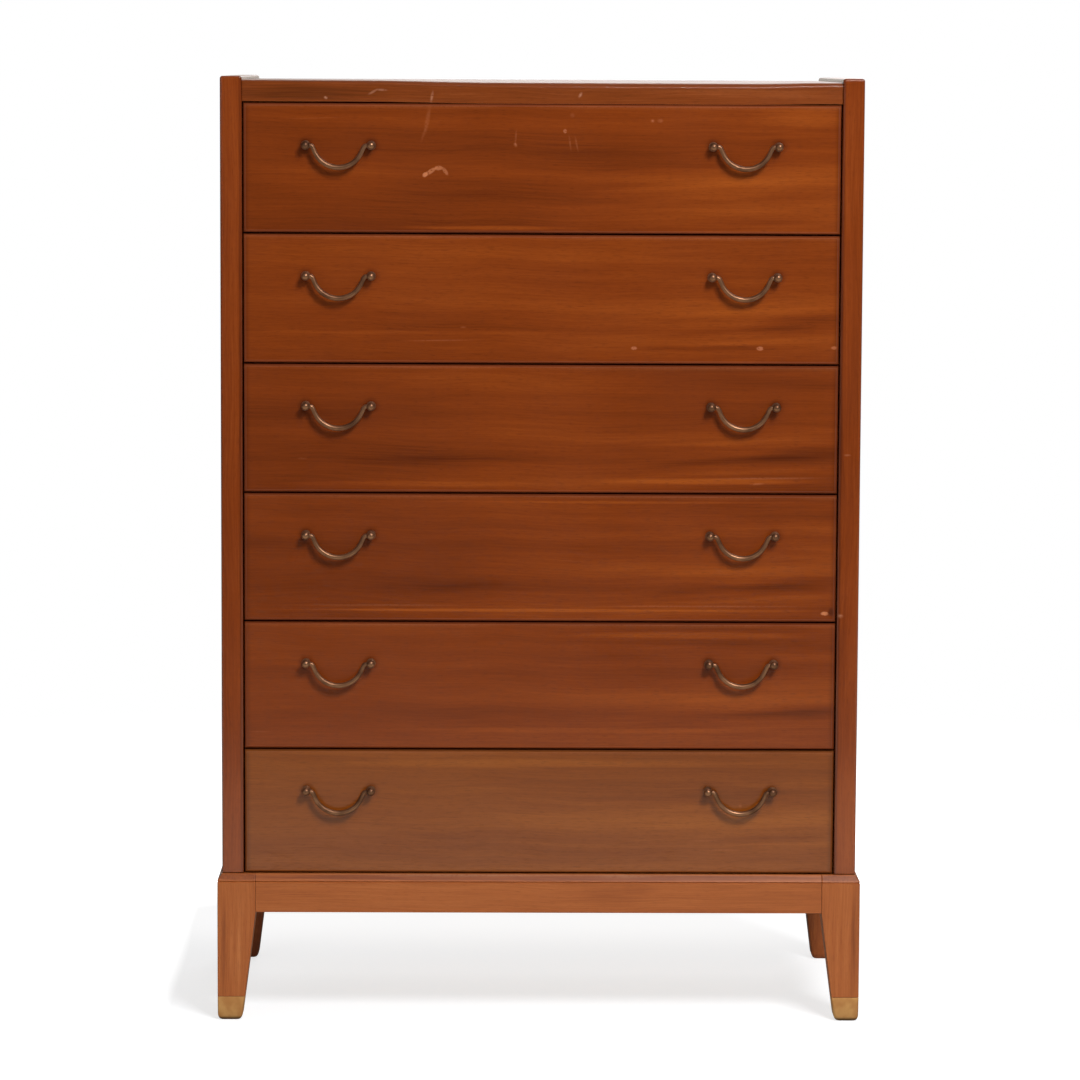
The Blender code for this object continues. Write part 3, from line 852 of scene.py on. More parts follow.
@dataclass
class Case:
    """The two sides with their runners, the top, the back and the bottom.

    Attributes:
        side_thickness: The thickness of a side.
        arris: The rounding of a side's front and upper edges.
        rebate_width: How far the back is let into a side.
        rebate_depth: How deep the rebate is, from the rear.
        top_rebate_height: The height of the rebate in the top.
        runner_width: How far a runner stands out of its side.
        runner_height: The height of a runner.
        runner_rise: The height of a runner's upper face above its drawer's lower edge.
        runner_set_back: The gap between a drawer front and its runners.
        runner_arris: The rounding of a runner's edges.
        cut_past: How far a cutter reaches past the face that it cuts.
        worn_least: How far the top's front arris is worn down at the left end.
        worn_most: How far it is worn down past the middle.
        worn_right: How far it is worn down at the right end.
        worn_at: The place on X where it is worn down most.
        sag: How far the top's front edge hangs down past its left part.
        sag_right: How far it still hangs down at its right end.
        sag_falls: From where to where on X it begins to hang.
        sag_rises: From where to where on X it comes up again.
    """

    side_thickness: float = 0.028
    arris: float = 0.0035
    rebate_width: float = 0.014
    rebate_depth: float = 0.010
    top_rebate_height: float = 0.015
    runner_width: float = 0.007
    runner_height: float = 0.014
    runner_rise: float = 0.072
    runner_set_back: float = 0.020
    runner_arris: float = 0.0008
    cut_past: float = 0.001
    worn_least: float = 0.003
    worn_most: float = 0.0072
    worn_right: float = 0.0055
    worn_at: float = 0.1
    sag: float = 0.0018
    sag_right: float = 0.0005
    sag_falls: tuple[float, float] = (-0.22, -0.06)
    sag_rises: tuple[float, float] = (0.27, 0.36)

    def build(self) -> None:
        """Builds and dresses the whole case."""
        for side in Side:
            self.build_side(side)
            self.build_runners(side)
        self.build_top()
        dress_node("back_panel", INNER_WOOD.dress("back_veneer", Figure(Grain.ALONG_Z, leaf=0.7)))
        dress_node("bottom_board", INNER_WOOD.dress("bottom_veneer", Figure(Grain.ALONG_X, leaf=0.9)))

    def build_side(self, side: Side) -> None:
        """Builds one side panel, with the rebate for the back."""
        node = f"side_{side.word}"
        box = Box.of(node)
        outer = side_face(side)
        inner = outer - side.value * self.side_thickness
        low_x, high_x = sorted((inner, outer))

        def is_rounded(point: Vector) -> bool:
            """Says whether a point lies on the front or on the upper end."""
            return point.y < box.low.y + HAIR or point.z > box.high.z - HAIR

        panel = Form().box((low_x, box.low.y, box.low.z), (high_x, box.high.y, box.high.z))
        panel.round_edges(self.arris, steps=5, chosen=is_rounded)
        past, deepest = inner - side.value * self.cut_past, inner + side.value * self.rebate_width
        cut_low_x, cut_high_x = sorted((past, deepest))
        top = Box.of("top_board")
        rebate = Form().box(
            (cut_low_x, box.high.y - self.rebate_depth, box.low.z - self.arris),
            (cut_high_x, box.high.y + self.arris, top.low.z + self.top_rebate_height),
        )
        mesh = carved(panel.finish(node), rebate.finish("rebate"))
        figure = Figure(
            Grain.ALONG_Z,
            origin=(0.0, 0.0, box.low.z),
            leaf=0.2 * side.value,
            streaks=STILE_STREAKS_AND_SHADE[side],
            marks=STILE_MARKS[side],
        )
        finish = CASE_WOOD.dress(f"{node}_veneer", figure)
        add_piece(f"side_panel_{side.word}", mesh, finish, CASE_WOOD.slot, "case", node)

    def build_runners(self, side: Side) -> None:
        """Builds the six runners of one side, which carry the drawers."""
        inner = side_face(side) - side.value * self.side_thickness
        low_x, high_x = sorted((inner, inner - side.value * self.runner_width))
        figure = Figure(Grain.ALONG_Y, leaf=0.3 * side.value)
        finish = INNER_WOOD.dress(f"runners_{side.word}_wood", figure)
        rear = Box.of("back_panel").low.y
        for number in range(1, DRAWER_COUNT + 1):
            front = Box.of(f"drawer_{number}_front")
            top = front.low.z + self.runner_rise
            runner = Form().box(
                (low_x, front.high.y + self.runner_set_back, top - self.runner_height), (high_x, rear, top)
            )
            runner.round_edges(self.runner_arris, steps=2)
            name = f"runner_{number}_{side.word}"
            add_piece(name, runner.finish(name), finish, INNER_WOOD.slot, "case", f"side_{side.word}")

    def build_top(self) -> None:
        """Builds the top board, whose front arris is worn down more past its middle."""
        box = Box.of("top_board")
        rear_face = Box.of("back_panel").low.y
        stations, steps, wear_reach = 49, 7, 1.6

        def ring(x: float) -> list[Point]:
            """The board's outline at one place along it."""
            if x < self.worn_at:
                share = (x - box.low.x) / (self.worn_at - box.low.x)
                worn = self.worn_least + (self.worn_most - self.worn_least) * math.sin(share * math.pi / 2)
            else:
                share = (x - self.worn_at) / (box.high.x - self.worn_at)
                worn = self.worn_most + (self.worn_right - self.worn_most) * share**2
            falling, rising = bend(x, *self.sag_falls), bend(x, *self.sag_rises)
            hang = self.sag * falling - (self.sag - self.sag_right) * rising
            points = [
                (x, box.low.y, box.low.z - hang),
                (x, rear_face, box.low.z),
                (x, rear_face, box.low.z + self.top_rebate_height),
                (x, box.high.y, box.low.z + self.top_rebate_height),
                (x, box.high.y, box.high.z),
            ]
            for step in range(steps + 1):
                angle = math.pi / 2 * step / steps
                y = box.low.y + wear_reach * worn * (1 - math.sin(angle))
                z = box.high.z - hang - worn * (1 - math.cos(angle))
                points.append((x, y, z))
            return points

        width = box.high.x - box.low.x
        rings = [ring(box.low.x + width * index / (stations - 1)) for index in range(stations)]
        marks = (
            Patch(-0.2755, 0.0048, 0.0034, 0.0028, 0.5, -18, 0.2),
            Patch(-0.2158, 0.0123, 0.0085, 0.0022, 0.3, 29, 0.2),
            Patch(-0.2048, 0.0150, 0.0100, 0.0020, 0.3, -3, 0.2),
            Patch(-0.1408, 0.0059, 0.0110, 0.0026, 0.3, -100, 0.2),
            Patch(0.048, 0.0096, 0.0055, 0.0028, 0.35, 59, 0.2),
        )
        streaks = (
            Patch(-0.30, 0.0106, 0.13, 0.012, -0.28, core=0.3),
            Patch(-0.10, 0.0086, 0.06, 0.006, 0.15),
            Patch(0.26, 0.0126, 0.18, 0.009, 0.22, core=0.2),
        )
        origin = (0.0, 0.0, box.low.z)
        figure = Figure(Grain.ALONG_X, origin=origin, leaf=0.05, marks=marks, streaks=streaks)
        finish = TOP_WOOD.dress("top_veneer", figure)
        mesh = Form().loft(rings).finish("top_panel")
        add_piece("top_panel", mesh, finish, TOP_WOOD.slot, "case", "top_board")


@dataclass
class Base:
    """The aprons, their glue blocks, the four tapered legs and the caps of the front ones.

    Attributes:
        leg_width: The width of a leg at the apron.
        foot_width: The width of a leg at the floor.
        apron_thickness: The thickness of an apron.
        block: How far a glue block reaches from the corner.
        slope_width: How far the upper slope goes in.
        slope_height: How high it is.
        quirk_low: The depth of the quirk's lower edge under the top.
        quirk_high: The depth of its upper edge.
        quirk_depth: How deep it is cut.
        arris: The rounding of the edges.
        toe: How far a foot's lower edges are rounded in.
        toe_height: How far up from the floor they are rounded.
        toe_corner: The radius of a toe's upright corners, as a share of its rounding.
        cap_height: The height of a cap.
        cap_wall: The thickness of a cap's wall.
        seam: The gap between two pieces that are joined.
    """

    leg_width: float = 0.0495
    foot_width: float = 0.0315
    apron_thickness: float = 0.022
    block: float = 0.075
    slope_width: float = 0.006
    slope_height: float = 0.008
    quirk_low: float = 0.0114
    quirk_high: float = 0.0088
    quirk_depth: float = 0.0014
    arris: float = 0.0012
    toe: float = 0.005
    toe_height: float = 0.0085
    toe_corner: float = 0.8
    cap_height: float = 0.031
    cap_wall: float = 0.0016
    seam: float = 0.0003

    def build(self) -> None:
        """Builds and dresses the whole base."""
        self.box = Box.of("base_frame")
        self.build_long_aprons()
        for side in Side:
            self.build_side_apron(side)
            for is_front in (True, False):
                self.build_block(side, is_front)
                self.build_leg(side, is_front)
            self.build_cap(side)

    def moulding(self) -> list[tuple[float, float]]:
        """The quirk and the slope along the upper edge of the base's outer faces.

        Returns:
            The points from below, each as how far it lies inside the face and its height.
        """
        top = self.box.high.z
        return [
            (0.0, top - self.quirk_low),
            (self.quirk_depth, top - (self.quirk_low + self.quirk_high) / 2),
            (0.0, top - self.quirk_high),
            (self.arris / 4, top - self.slope_height),
            (self.slope_width - self.arris / 2, top - self.arris / 2),
            (self.slope_width + self.arris / 4, top),
        ]

    def sloped(self, face: float, inward: float) -> list[tuple[float, float]]:
        """The section of an apron with its moulding.

        Args:
            face: The place of its outer face.
            inward: The sign of the way in from there.

        Returns:
            The points, each as the place across and the height.
        """
        low = self.box.low.z
        outer = [(self.arris, low), (self.arris * 0.3, low + self.arris * 0.3), (0.0, low + self.arris)]
        points = [(face + inward * depth, height) for depth, height in outer + self.moulding()]
        back = face + inward * self.apron_thickness
        return points + [(back, self.box.high.z), (back, low)]

    def slope_streak(self, x: float, half_length: float, origin_z: float = 0.0) -> Patch:
        """The slope made darker, as a streak.

        Args:
            x: The place of its middle.
            half_length: Half its length.
            origin_z: The height that the figure is measured from.

        Returns:
            The streak.
        """
        z = self.box.high.z - self.slope_height / 2 - origin_z
        return Patch(x, z, half_length, 0.0045, -0.38, core=0.6)

    def build_long_aprons(self) -> None:
        """Builds the front apron, with its moulding, and the plain rear one."""
        end = self.box.high.x - self.leg_width - self.seam
        rear = self.box.high.y
        plain = [
            (rear - self.apron_thickness, self.box.low.z),
            (rear - self.arris, self.box.low.z),
            (rear, self.box.low.z + self.arris),
            (rear, self.box.high.z),
            (rear - self.apron_thickness, self.box.high.z),
        ]
        streaks = (
            Patch(0.09, 0.021, 0.06, 0.020, -0.14),
            Patch(0.13, 0.031, 0.03, 0.012, -0.12),
            Patch(-0.20, 0.026, 0.12, 0.020, 0.12),
            self.slope_streak(0.0, 0.48, self.box.low.z),
        )
        # Bare wood and a painted highlight: a pale line along the slope's upper arris, brighter in places.
        marks = (
            Patch(0.0, 0.0492, 0.40, 0.0018, 0.12, core=0.4),
            Patch(-0.10, 0.0480, 0.16, 0.0024, 0.12, core=0.3),
            Patch(0.11, 0.0472, 0.05, 0.0028, 0.16, core=0.3),
        )
        origin = (0.0, 0.0, self.box.low.z)
        front = Figure(Grain.ALONG_X, origin=origin, leaf=0.4, streaks=streaks, marks=marks)
        for word, outline, figure in (
            ("front", self.sloped(self.box.low.y, 1), front),
            ("rear", plain, Figure(Grain.ALONG_X, leaf=0.5)),
        ):
            name = f"apron_{word}"
            finish = BASE_WOOD.dress(f"{name}_wood", figure)
            mesh = Form().prism(outline, Axis.X, -end, end).finish(name)
            add_piece(name, mesh, finish, BASE_WOOD.slot, "case", "base_frame")

    def build_side_apron(self, side: Side) -> None:
        """Builds the apron of one side."""
        face = self.box.high.x * side.value
        start = self.box.low.y + self.leg_width + self.seam
        end = self.box.high.y - self.leg_width - self.seam
        name = f"apron_{side.word}"
        mesh = Form().prism(self.sloped(face, -side.value), Axis.Y, start, end).finish(name)
        figure = Figure(Grain.ALONG_Y, leaf=0.6 * side.value, streaks=(self.slope_streak(face, 0.04),))
        finish = BASE_WOOD.dress(f"{name}_wood", figure)
        add_piece(name, mesh, finish, BASE_WOOD.slot, "case", "base_frame")

    def build_block(self, side: Side, is_front: bool) -> None:
        """Builds the glue block behind one leg, as an angle round the leg's inner corner."""
        word = "front" if is_front else "rear"
        corner_y, inward = (self.box.low.y, 1) if is_front else (self.box.high.y, -1)
        reaches = (self.apron_thickness + self.seam, self.leg_width + self.seam, self.block)
        near_x, leg_x, far_x = (side.value * (self.box.high.x - reach) for reach in reaches)
        near_y, leg_y, far_y = (corner_y + inward * reach for reach in reaches)
        outline = [
            (far_x, near_y),
            (leg_x, near_y),
            (leg_x, leg_y),
            (near_x, leg_y),
            (near_x, far_y),
            (far_x, far_y),
        ]
        name = f"glue_block_{word}_{side.word}"
        form = Form().prism(outline, Axis.Z, self.box.low.z, self.box.high.z)
        form.round_edges(self.arris / 2, steps=2)
        finish = INNER_WOOD.dress(f"{name}_wood", Figure(Grain.ALONG_Z, leaf=0.8 * side.value))
        add_piece(name, form.finish(name), finish, INNER_WOOD.slot, "case", "base_frame")

    def leg_ring(
        self,
        side: Side,
        is_front: bool,
        z: float,
        inset: float = 0.0,
        depth: float = 0.0,
        corner: float = 0.0,
    ) -> list[Point]:
        """The outline of a leg at a height, with rounded corners.

        Args:
            side: The leg's side.
            is_front: Whether it is a front leg.
            z: The height.
            inset: How far all its faces are drawn in.
            depth: How far the moulding draws in the outer faces, but not the rear ones.
            corner: The radius of the corners, or none for the common one.

        Returns:
            The points in order round the leg.
        """
        steps = 4
        share = min(z / self.box.low.z, 1.0)
        width = self.foot_width + (self.leg_width - self.foot_width) * share
        xs = (side.value * (self.box.high.x - inset - depth), side.value * (self.box.high.x - width + inset))
        if is_front:
            ys = (self.box.low.y + inset + depth, self.box.low.y + width - inset)
        else:
            ys = (self.box.high.y - width + inset, self.box.high.y - inset)
        radius = corner or self.arris
        points = []
        corners = ((max(xs), max(ys)), (min(xs), max(ys)), (min(xs), min(ys)), (max(xs), min(ys)))
        for quarter, (x, y) in enumerate(corners):
            start = quarter * math.pi / 2
            inner_x = x - math.copysign(radius, math.cos(start + math.pi / 4))
            inner_y = y - math.copysign(radius, math.sin(start + math.pi / 4))
            for step in range(steps + 1):
                angle = start + math.pi / 2 * step / steps
                points.append((inner_x + radius * math.cos(angle), inner_y + radius * math.sin(angle), z))
        return points

    def toe_rings(self, side: Side, is_front: bool, wall: float) -> list[list[Point]]:
        """The outlines that round a foot's lower edges, from the floor up.

        Args:
            side: The leg's side.
            is_front: Whether it is a front leg.
            wall: How far the foot lies inside the cap's outer face, and above the floor.

        Returns:
            The outlines.
        """
        steps = 7
        rings = []
        across, up = self.toe - wall, self.toe_height - wall
        corner = max(across * self.toe_corner, self.arris)
        for step in range(steps + 1):
            angle = math.pi / 2 * step / steps
            inset = wall + across * (1 - math.sin(angle))
            z = wall + up * (1 - math.cos(angle))
            rings.append(self.leg_ring(side, is_front, z, inset, corner=corner))
        return rings

    def build_leg(self, side: Side, is_front: bool) -> None:
        """Builds one leg, tapered on its two inner faces and rounded at the toe."""
        word = "front" if is_front else "rear"
        node = f"leg_{word}_{side.word}"
        wall = self.cap_wall + self.seam if is_front else 0.0
        rings = self.toe_rings(side, is_front, wall)
        if is_front:
            above = self.cap_height + self.seam
            rings += [
                self.leg_ring(side, True, above, wall),
                self.leg_ring(side, True, above + self.seam),
            ]
        rings.append(self.leg_ring(side, is_front, self.box.low.z))
        rings += [self.leg_ring(side, is_front, height, depth=depth) for depth, height in self.moulding()]
        x = side.value
        streaks = [
            Patch(x * 0.408, 0.10, 0.100, 0.005, -0.35, 90),
            Patch(x * 0.398, 0.09, 0.080, 0.003, 0.20, 90),
            Patch(x * 0.388, 0.08, 0.080, 0.004, 0.25, 90),
            self.slope_streak(x * 0.390, 0.04),
        ]
        # Painted shade: the rear legs are darkened where they stand in the shade under the case, the left one
        # more.
        if not is_front:
            streaks.append(Patch(x * 0.39, 0.07, 0.2, 0.1, -0.4 if side is Side.LEFT else -0.3, core=0.6))
        figure = Figure(Grain.ALONG_Z, leaf=x * 0.15 + is_front, streaks=tuple(streaks))
        finish = BASE_WOOD.dress(f"{node}_wood", figure)
        add_piece(f"tapered_{node}", Form().loft(rings).finish(node), finish, BASE_WOOD.slot, "case", node)

    def build_cap(self, side: Side) -> None:
        """Builds the cap that one front foot stands in, as a hollow cup with a rounded toe."""
        node = f"leg_cap_{side.word}"
        wall, top, lip = self.cap_wall, self.cap_height, self.cap_wall / 4
        outside = self.toe_rings(side, True, 0.0)
        inside = self.toe_rings(side, True, wall)
        rim = [
            self.leg_ring(side, True, top - lip),
            self.leg_ring(side, True, top, lip),
            self.leg_ring(side, True, top, wall - lip),
            self.leg_ring(side, True, top - lip, wall),
        ]
        mesh = Form().loft(outside + rim + inside[::-1]).finish(node)
        finish = BRASS.dress(f"cap_{side.word}_brass")
        add_piece(f"foot_cap_{side.word}", mesh, finish, BRASS.slot, "case", node)


@dataclass
class Handle:
    """A swan-neck drop handle: two turned posts and the bail that swings between them.

    Attributes:
        head: The radius of a post's ball head.
        neck: The radius behind the head.
        rose: The radius of the collar against the drawer.
        rose_thickness: The collar's thickness.
        shank: The radius of the threaded shank.
        nut: The radius of the nut inside the drawer, over its corners.
        nut_thickness: The nut's thickness.
        stand_off: The distance from the pivot to the drawer's face.
        pin: The radius of the bail's pins.
        pin_hole: The radius of the holes that they turn in.
        bow: The radius of the bail's rod in the middle.
        arm: The radius of its rod near the posts.
        drop: How far the rod's middle hangs below the pivot.
        shoulder: The radius of the bend beside a post.
        splay: The angle of the arms.
        gap: The gap between two pieces that touch.
        flare: How the neck widens to the collar, each step as a share of the neck's radius and as how
            many thicknesses of the collar it lies in front of the drawer.
    """

    head: float = 0.0055
    neck: float = 0.003
    rose: float = 0.006
    rose_thickness: float = 0.0016
    shank: float = 0.002
    nut: float = 0.005
    nut_thickness: float = 0.004
    stand_off: float = 0.011
    pin: float = 0.0015
    pin_hole: float = 0.0019
    bow: float = 0.0034
    arm: float = 0.0029
    drop: float = 0.028
    shoulder: float = 0.0045
    splay: float = math.radians(66)
    gap: float = 0.0003
    flare: tuple[tuple[float, float], ...] = ((0.94, 1.9), (1.08, 1.35), (1.4, 1.05))

    def post_mesh(self, front_thickness: float) -> bpy.types.Mesh:
        """Turns one post about +Y, with its pivot at the origin and its pin hole facing +X.

        Args:
            front_thickness: The thickness of the drawer front that its shank goes through.

        Returns:
            The mesh.
        """
        sides, rings, tip = 32, 12, 0.0004
        past_neck = math.pi - math.asin(self.neck / self.head)
        profile = [(tip, -self.head)]
        for step in range(1, rings + 1):
            angle = past_neck * step / rings
            profile.append((self.head * math.sin(angle), -self.head * math.cos(angle)))
        face = self.stand_off
        rear = face + front_thickness + self.gap
        edge = self.rose_thickness / 4
        profile += [(self.neck * wide, face - self.rose_thickness * ahead) for wide, ahead in self.flare]
        profile += [
            (self.rose - edge, face - self.rose_thickness),
            (self.rose, face - self.rose_thickness + edge),
            (self.rose, face - self.gap),
            (self.shank, face - self.gap),
            (self.shank, rear),
        ]
        turned = [[(x, y, z) for x, z in circle(radius, sides)] for radius, y in profile]
        rounded = self.nut * 0.9
        nut = [
            self.nut_ring(sides, rounded, rear),
            self.nut_ring(sides, self.nut, rear + edge),
            self.nut_ring(sides, self.nut, rear + self.nut_thickness - edge),
            self.nut_ring(sides, rounded, rear + self.nut_thickness),
        ]
        mesh = Form().loft(turned + nut).finish("post")
        hole = [[(x, y, z) for y, z in circle(self.pin_hole, sides)] for x in (0.0, self.head * 2)]
        return carved(mesh, Form().loft(hole).finish("pin_hole"))

    def nut_ring(self, sides: int, radius: float, y: float) -> list[Point]:
        """A ring of the six-sided nut, with its corners at a radius."""
        sixth = math.pi / 3
        flat = radius * math.cos(sixth / 2)
        points = []
        for angle in turns(sides):
            reach = flat / math.cos(angle % sixth - sixth / 2)
            points.append((reach * math.cos(angle), y, reach * math.sin(angle)))
        return points

    def half_line(self, half_spacing: float) -> list[tuple[float, float, float]]:
        """The bail's middle line from its lowest point to the end of a pin, with the rod's radius.

        Args:
            half_spacing: Half the distance between the two posts.

        Returns:
            The points, each as the place across, the height from the pivot and the radius.
        """
        bow_steps, bend_steps, clearance, blunt = 22, 8, 0.0005, 0.86
        end = half_spacing - math.sqrt(self.head**2 - self.pin_hole**2) - self.gap
        run = end - self.drop / math.tan(self.splay)
        bow_radius = run / math.tan(self.splay / 2) - self.shoulder
        line = []
        for step in range(bow_steps + 1):
            share = step / bow_steps
            angle = self.splay * share
            radius = self.bow + (self.arm - self.bow) * share**2
            z = bow_radius * (1 - math.cos(angle)) - self.drop
            line.append((bow_radius * math.sin(angle), z, radius))
        start_x = end - self.shoulder * math.sin(self.splay)
        start_z = -self.shoulder * (1 - math.cos(self.splay))
        for step in range(bend_steps + 1):
            angle = self.splay * (1 - step / bend_steps)
            x = start_x + self.shoulder * (math.sin(self.splay) - math.sin(angle))
            z = start_z + self.shoulder * (math.cos(angle) - math.cos(self.splay))
            line.append((x, z, self.arm))
        line.append((end + self.gap * 0.4, 0.0, self.arm * blunt))
        line.append((end + self.gap * 0.5, 0.0, self.pin))
        line.append((half_spacing - clearance, 0.0, self.pin))
        return line

    def bail_mesh(self, half_spacing: float) -> bpy.types.Mesh:
        """Sweeps the bail along its middle line, with its pivot at the origin."""
        half = self.half_line(half_spacing)
        line = [(-x, z, radius) for x, z, radius in reversed(half[1:])] + half
        sides, sideways = 24, Vector((0.0, 1.0, 0.0))
        rings = []
        for index, (x, z, radius) in enumerate(line):
            before, after = line[max(index - 1, 0)], line[min(index + 1, len(line) - 1)]
            ahead = Vector((after[0] - before[0], 0.0, after[1] - before[1])).normalized()
            out = Vector((-ahead.z, 0.0, ahead.x))
            centre = Vector((x, 0.0, z))
            rings.append([centre + up * out + across * sideways for up, across in circle(radius, sides)])
        return Form().loft(rings).finish("bail")


def turns(sides: int) -> list[float]:
    """The angles of a ring's points, evenly round a full turn."""
    return [2 * math.pi * index / sides for index in range(sides)]


def circle(radius: float, sides: int) -> list[tuple[float, float]]:
    """The points of a circle about the origin of a plane."""
    return [(radius * math.cos(angle), radius * math.sin(angle)) for angle in turns(sides)]


# Worn places on the fronts, measured across the chest and up from each front's lower edge
FRONT_MARKS: dict[int, tuple[Patch, ...]] = {
    1: (
        Patch(-0.1493, 0.0739, 0.0044, 0.0034, 1.00, 45, 0.4),
        Patch(-0.1427, 0.0778, 0.0115, 0.0035, 0.68, 33, 0.4),
        Patch(-0.1320, 0.0824, 0.0071, 0.0038, 0.64, 4, 0.4),
        Patch(-0.1235, 0.0783, 0.0079, 0.0034, 0.48, -54, 0.3),
        Patch(-0.1463, 0.1429, 0.0230, 0.0038, 0.18, -100, 0.3),
        Patch(-0.1513, 0.1250, 0.0142, 0.0024, 0.12, -107, 0.2),
        Patch(-0.0339, 0.1224, 0.0115, 0.0018, 0.19, -95, 0.3),
        Patch(-0.0343, 0.1124, 0.0042, 0.0031, 0.30, -64, 0.3),
        Patch(0.0287, 0.1298, 0.0034, 0.0039, 0.48, core=0.3),
        Patch(0.0351, 0.1149, 0.0126, 0.0017, 0.17, -82, 0.3),
        Patch(0.0434, 0.1143, 0.0126, 0.0017, 0.18, -78, 0.3),
        Patch(0.1400, 0.1433, 0.0036, 0.0034, 0.30, core=0.2),
        Patch(0.1500, 0.1436, 0.0050, 0.0036, 0.25, core=0.2),
        Patch(0.0380, 0.1500, 0.0042, 0.0042, 0.15, core=0.2),
        Patch(-0.2900, 0.1450, 0.0500, 0.0010, 0.09, 2, 0.3),
    ),
    2: (
        Patch(0.1184, 0.0200, 0.0053, 0.0031, 0.60, core=0.3),
        Patch(0.2797, 0.0201, 0.0061, 0.0036, 0.68, core=0.3),
        Patch(0.3745, 0.0213, 0.0053, 0.0031, 0.48, core=0.3),
        Patch(-0.1300, 0.0290, 0.0600, 0.0014, 0.18, 1, 0.2),
        Patch(-0.1000, 0.0460, 0.0053, 0.0017, 0.18, core=0.2),
    ),
    3: (
        Patch(0.2930, 0.0193, 0.0960, 0.0020, 0.21, 0.6, 0.2),
        Patch(0.2780, 0.0120, 0.0126, 0.0022, 0.24, 4, 0.2),
        Patch(-0.3060, 0.0430, 0.0084, 0.0017, 0.15, core=0.2),
    ),
    4: (
        Patch(0.3663, 0.0108, 0.0059, 0.0032, 1.10, core=0.45),
        Patch(0.2046, 0.0196, 0.1850, 0.0017, 0.18, core=0.2),
        Patch(-0.2000, 0.0200, 0.1500, 0.0020, 0.13, core=0.2),
    ),
    5: (Patch(-0.3600, 0.0210, 0.0189, 0.0014, 0.15, core=0.2),),
    6: (
        Patch(0.2378, 0.0302, 0.0300, 0.0014, 0.18, core=0.2),
        Patch(0.2150, 0.0420, 0.0240, 0.0013, 0.15, core=0.2),
        Patch(0.2600, 0.0880, 0.0032, 0.0031, 0.27, core=0.2),
    ),
}

# Streaks of the one log that all six fronts were cut from, measured as the marks are
FRONT_STREAKS = (
    Patch(0.345, 0.0490, 0.110, 0.0150, -0.28, 4.0, 0.2),
    Patch(0.240, 0.0420, 0.160, 0.0070, -0.22, 3.6),
    Patch(0.270, 0.0280, 0.170, 0.0060, 0.20, 2.6),
    Patch(0.250, 0.0660, 0.160, 0.0060, 0.18, 3.0),
    Patch(-0.100, 0.0430, 0.160, 0.0110, -0.09, 0.5),
)

# Streaks and broad places of single fronts, measured as the marks are
FRONT_TONES: dict[int, tuple[Patch, ...]] = {
    1: (
        Patch(0.335, 0.150, 0.090, 0.030, 0.26),
        Patch(-0.200, 0.080, 0.450, 0.160, -0.14, core=0.5),
        Patch(0.170, 0.105, 0.200, 0.045, -0.10, core=0.3),
        Patch(-0.260, 0.065, 0.130, 0.030, 0.16, core=0.2),
        Patch(-0.063, 0.0066, 0.145, 0.0040, 0.45, core=0.3),
        Patch(0.200, 0.0600, 0.170, 0.0070, 0.18, 3),
        Patch(0.280, 0.0150, 0.120, 0.0050, -0.20, 1),
    ),
    2: (
        Patch(0.340, 0.0600, 0.100, 0.0120, -0.18, 5),
        Patch(0.200, 0.0200, 0.160, 0.0060, -0.24, core=0.2),
        Patch(-0.150, 0.0390, 0.260, 0.0040, 0.16, core=0.2),
        Patch(-0.150, 0.1100, 0.220, 0.0300, 0.10, core=0.2),
    ),
    3: (
        Patch(-0.300, 0.080, 0.280, 0.140, -0.14, core=0.4),
        Patch(0.250, 0.080, 0.250, 0.140, -0.12, core=0.5),
        Patch(-0.150, 0.0400, 0.220, 0.0100, -0.10, core=0.2),
        Patch(0.220, 0.0150, 0.180, 0.0055, 0.50, core=0.3),
        Patch(-0.160, 0.0110, 0.220, 0.0050, 0.22, core=0.3),
    ),
    4: (
        Patch(-0.250, 0.080, 0.280, 0.140, -0.12, core=0.4),
        Patch(-0.120, 0.0430, 0.130, 0.0160, -0.06, core=0.2),
        Patch(-0.050, 0.0140, 0.330, 0.0026, 0.55, core=0.4),
        Patch(0.250, 0.0140, 0.140, 0.0026, 0.25, core=0.4),
        Patch(0.100, 0.1540, 0.270, 0.0025, 0.32, core=0.3),
        Patch(0.375, 0.0125, 0.006, 0.0075, -0.50, core=0.2),
    ),
    5: (
        Patch(0.200, 0.1480, 0.200, 0.0065, 0.34, core=0.3),
        Patch(0.360, 0.0460, 0.060, 0.0140, -0.14, core=0.2),
        Patch(0.050, 0.0240, 0.330, 0.0050, 0.20, core=0.3),
    ),
    6: (
        # Painted reflection: the lowest front is made a little paler all over.
        Patch(0.0, 0.080, 0.600, 0.200, 0.10, core=0.8),
        Patch(0.0, 0.1430, 0.370, 0.0070, 0.22, core=0.4),
        Patch(0.120, 0.0800, 0.220, 0.0080, 0.14, 2),
    ),
}

# How strongly the log's streaks show on each front
STREAK_SHARES = {1: 0.6, 2: 0.9, 3: 1.1, 4: 0.9, 5: 0.8, 6: 0.5}


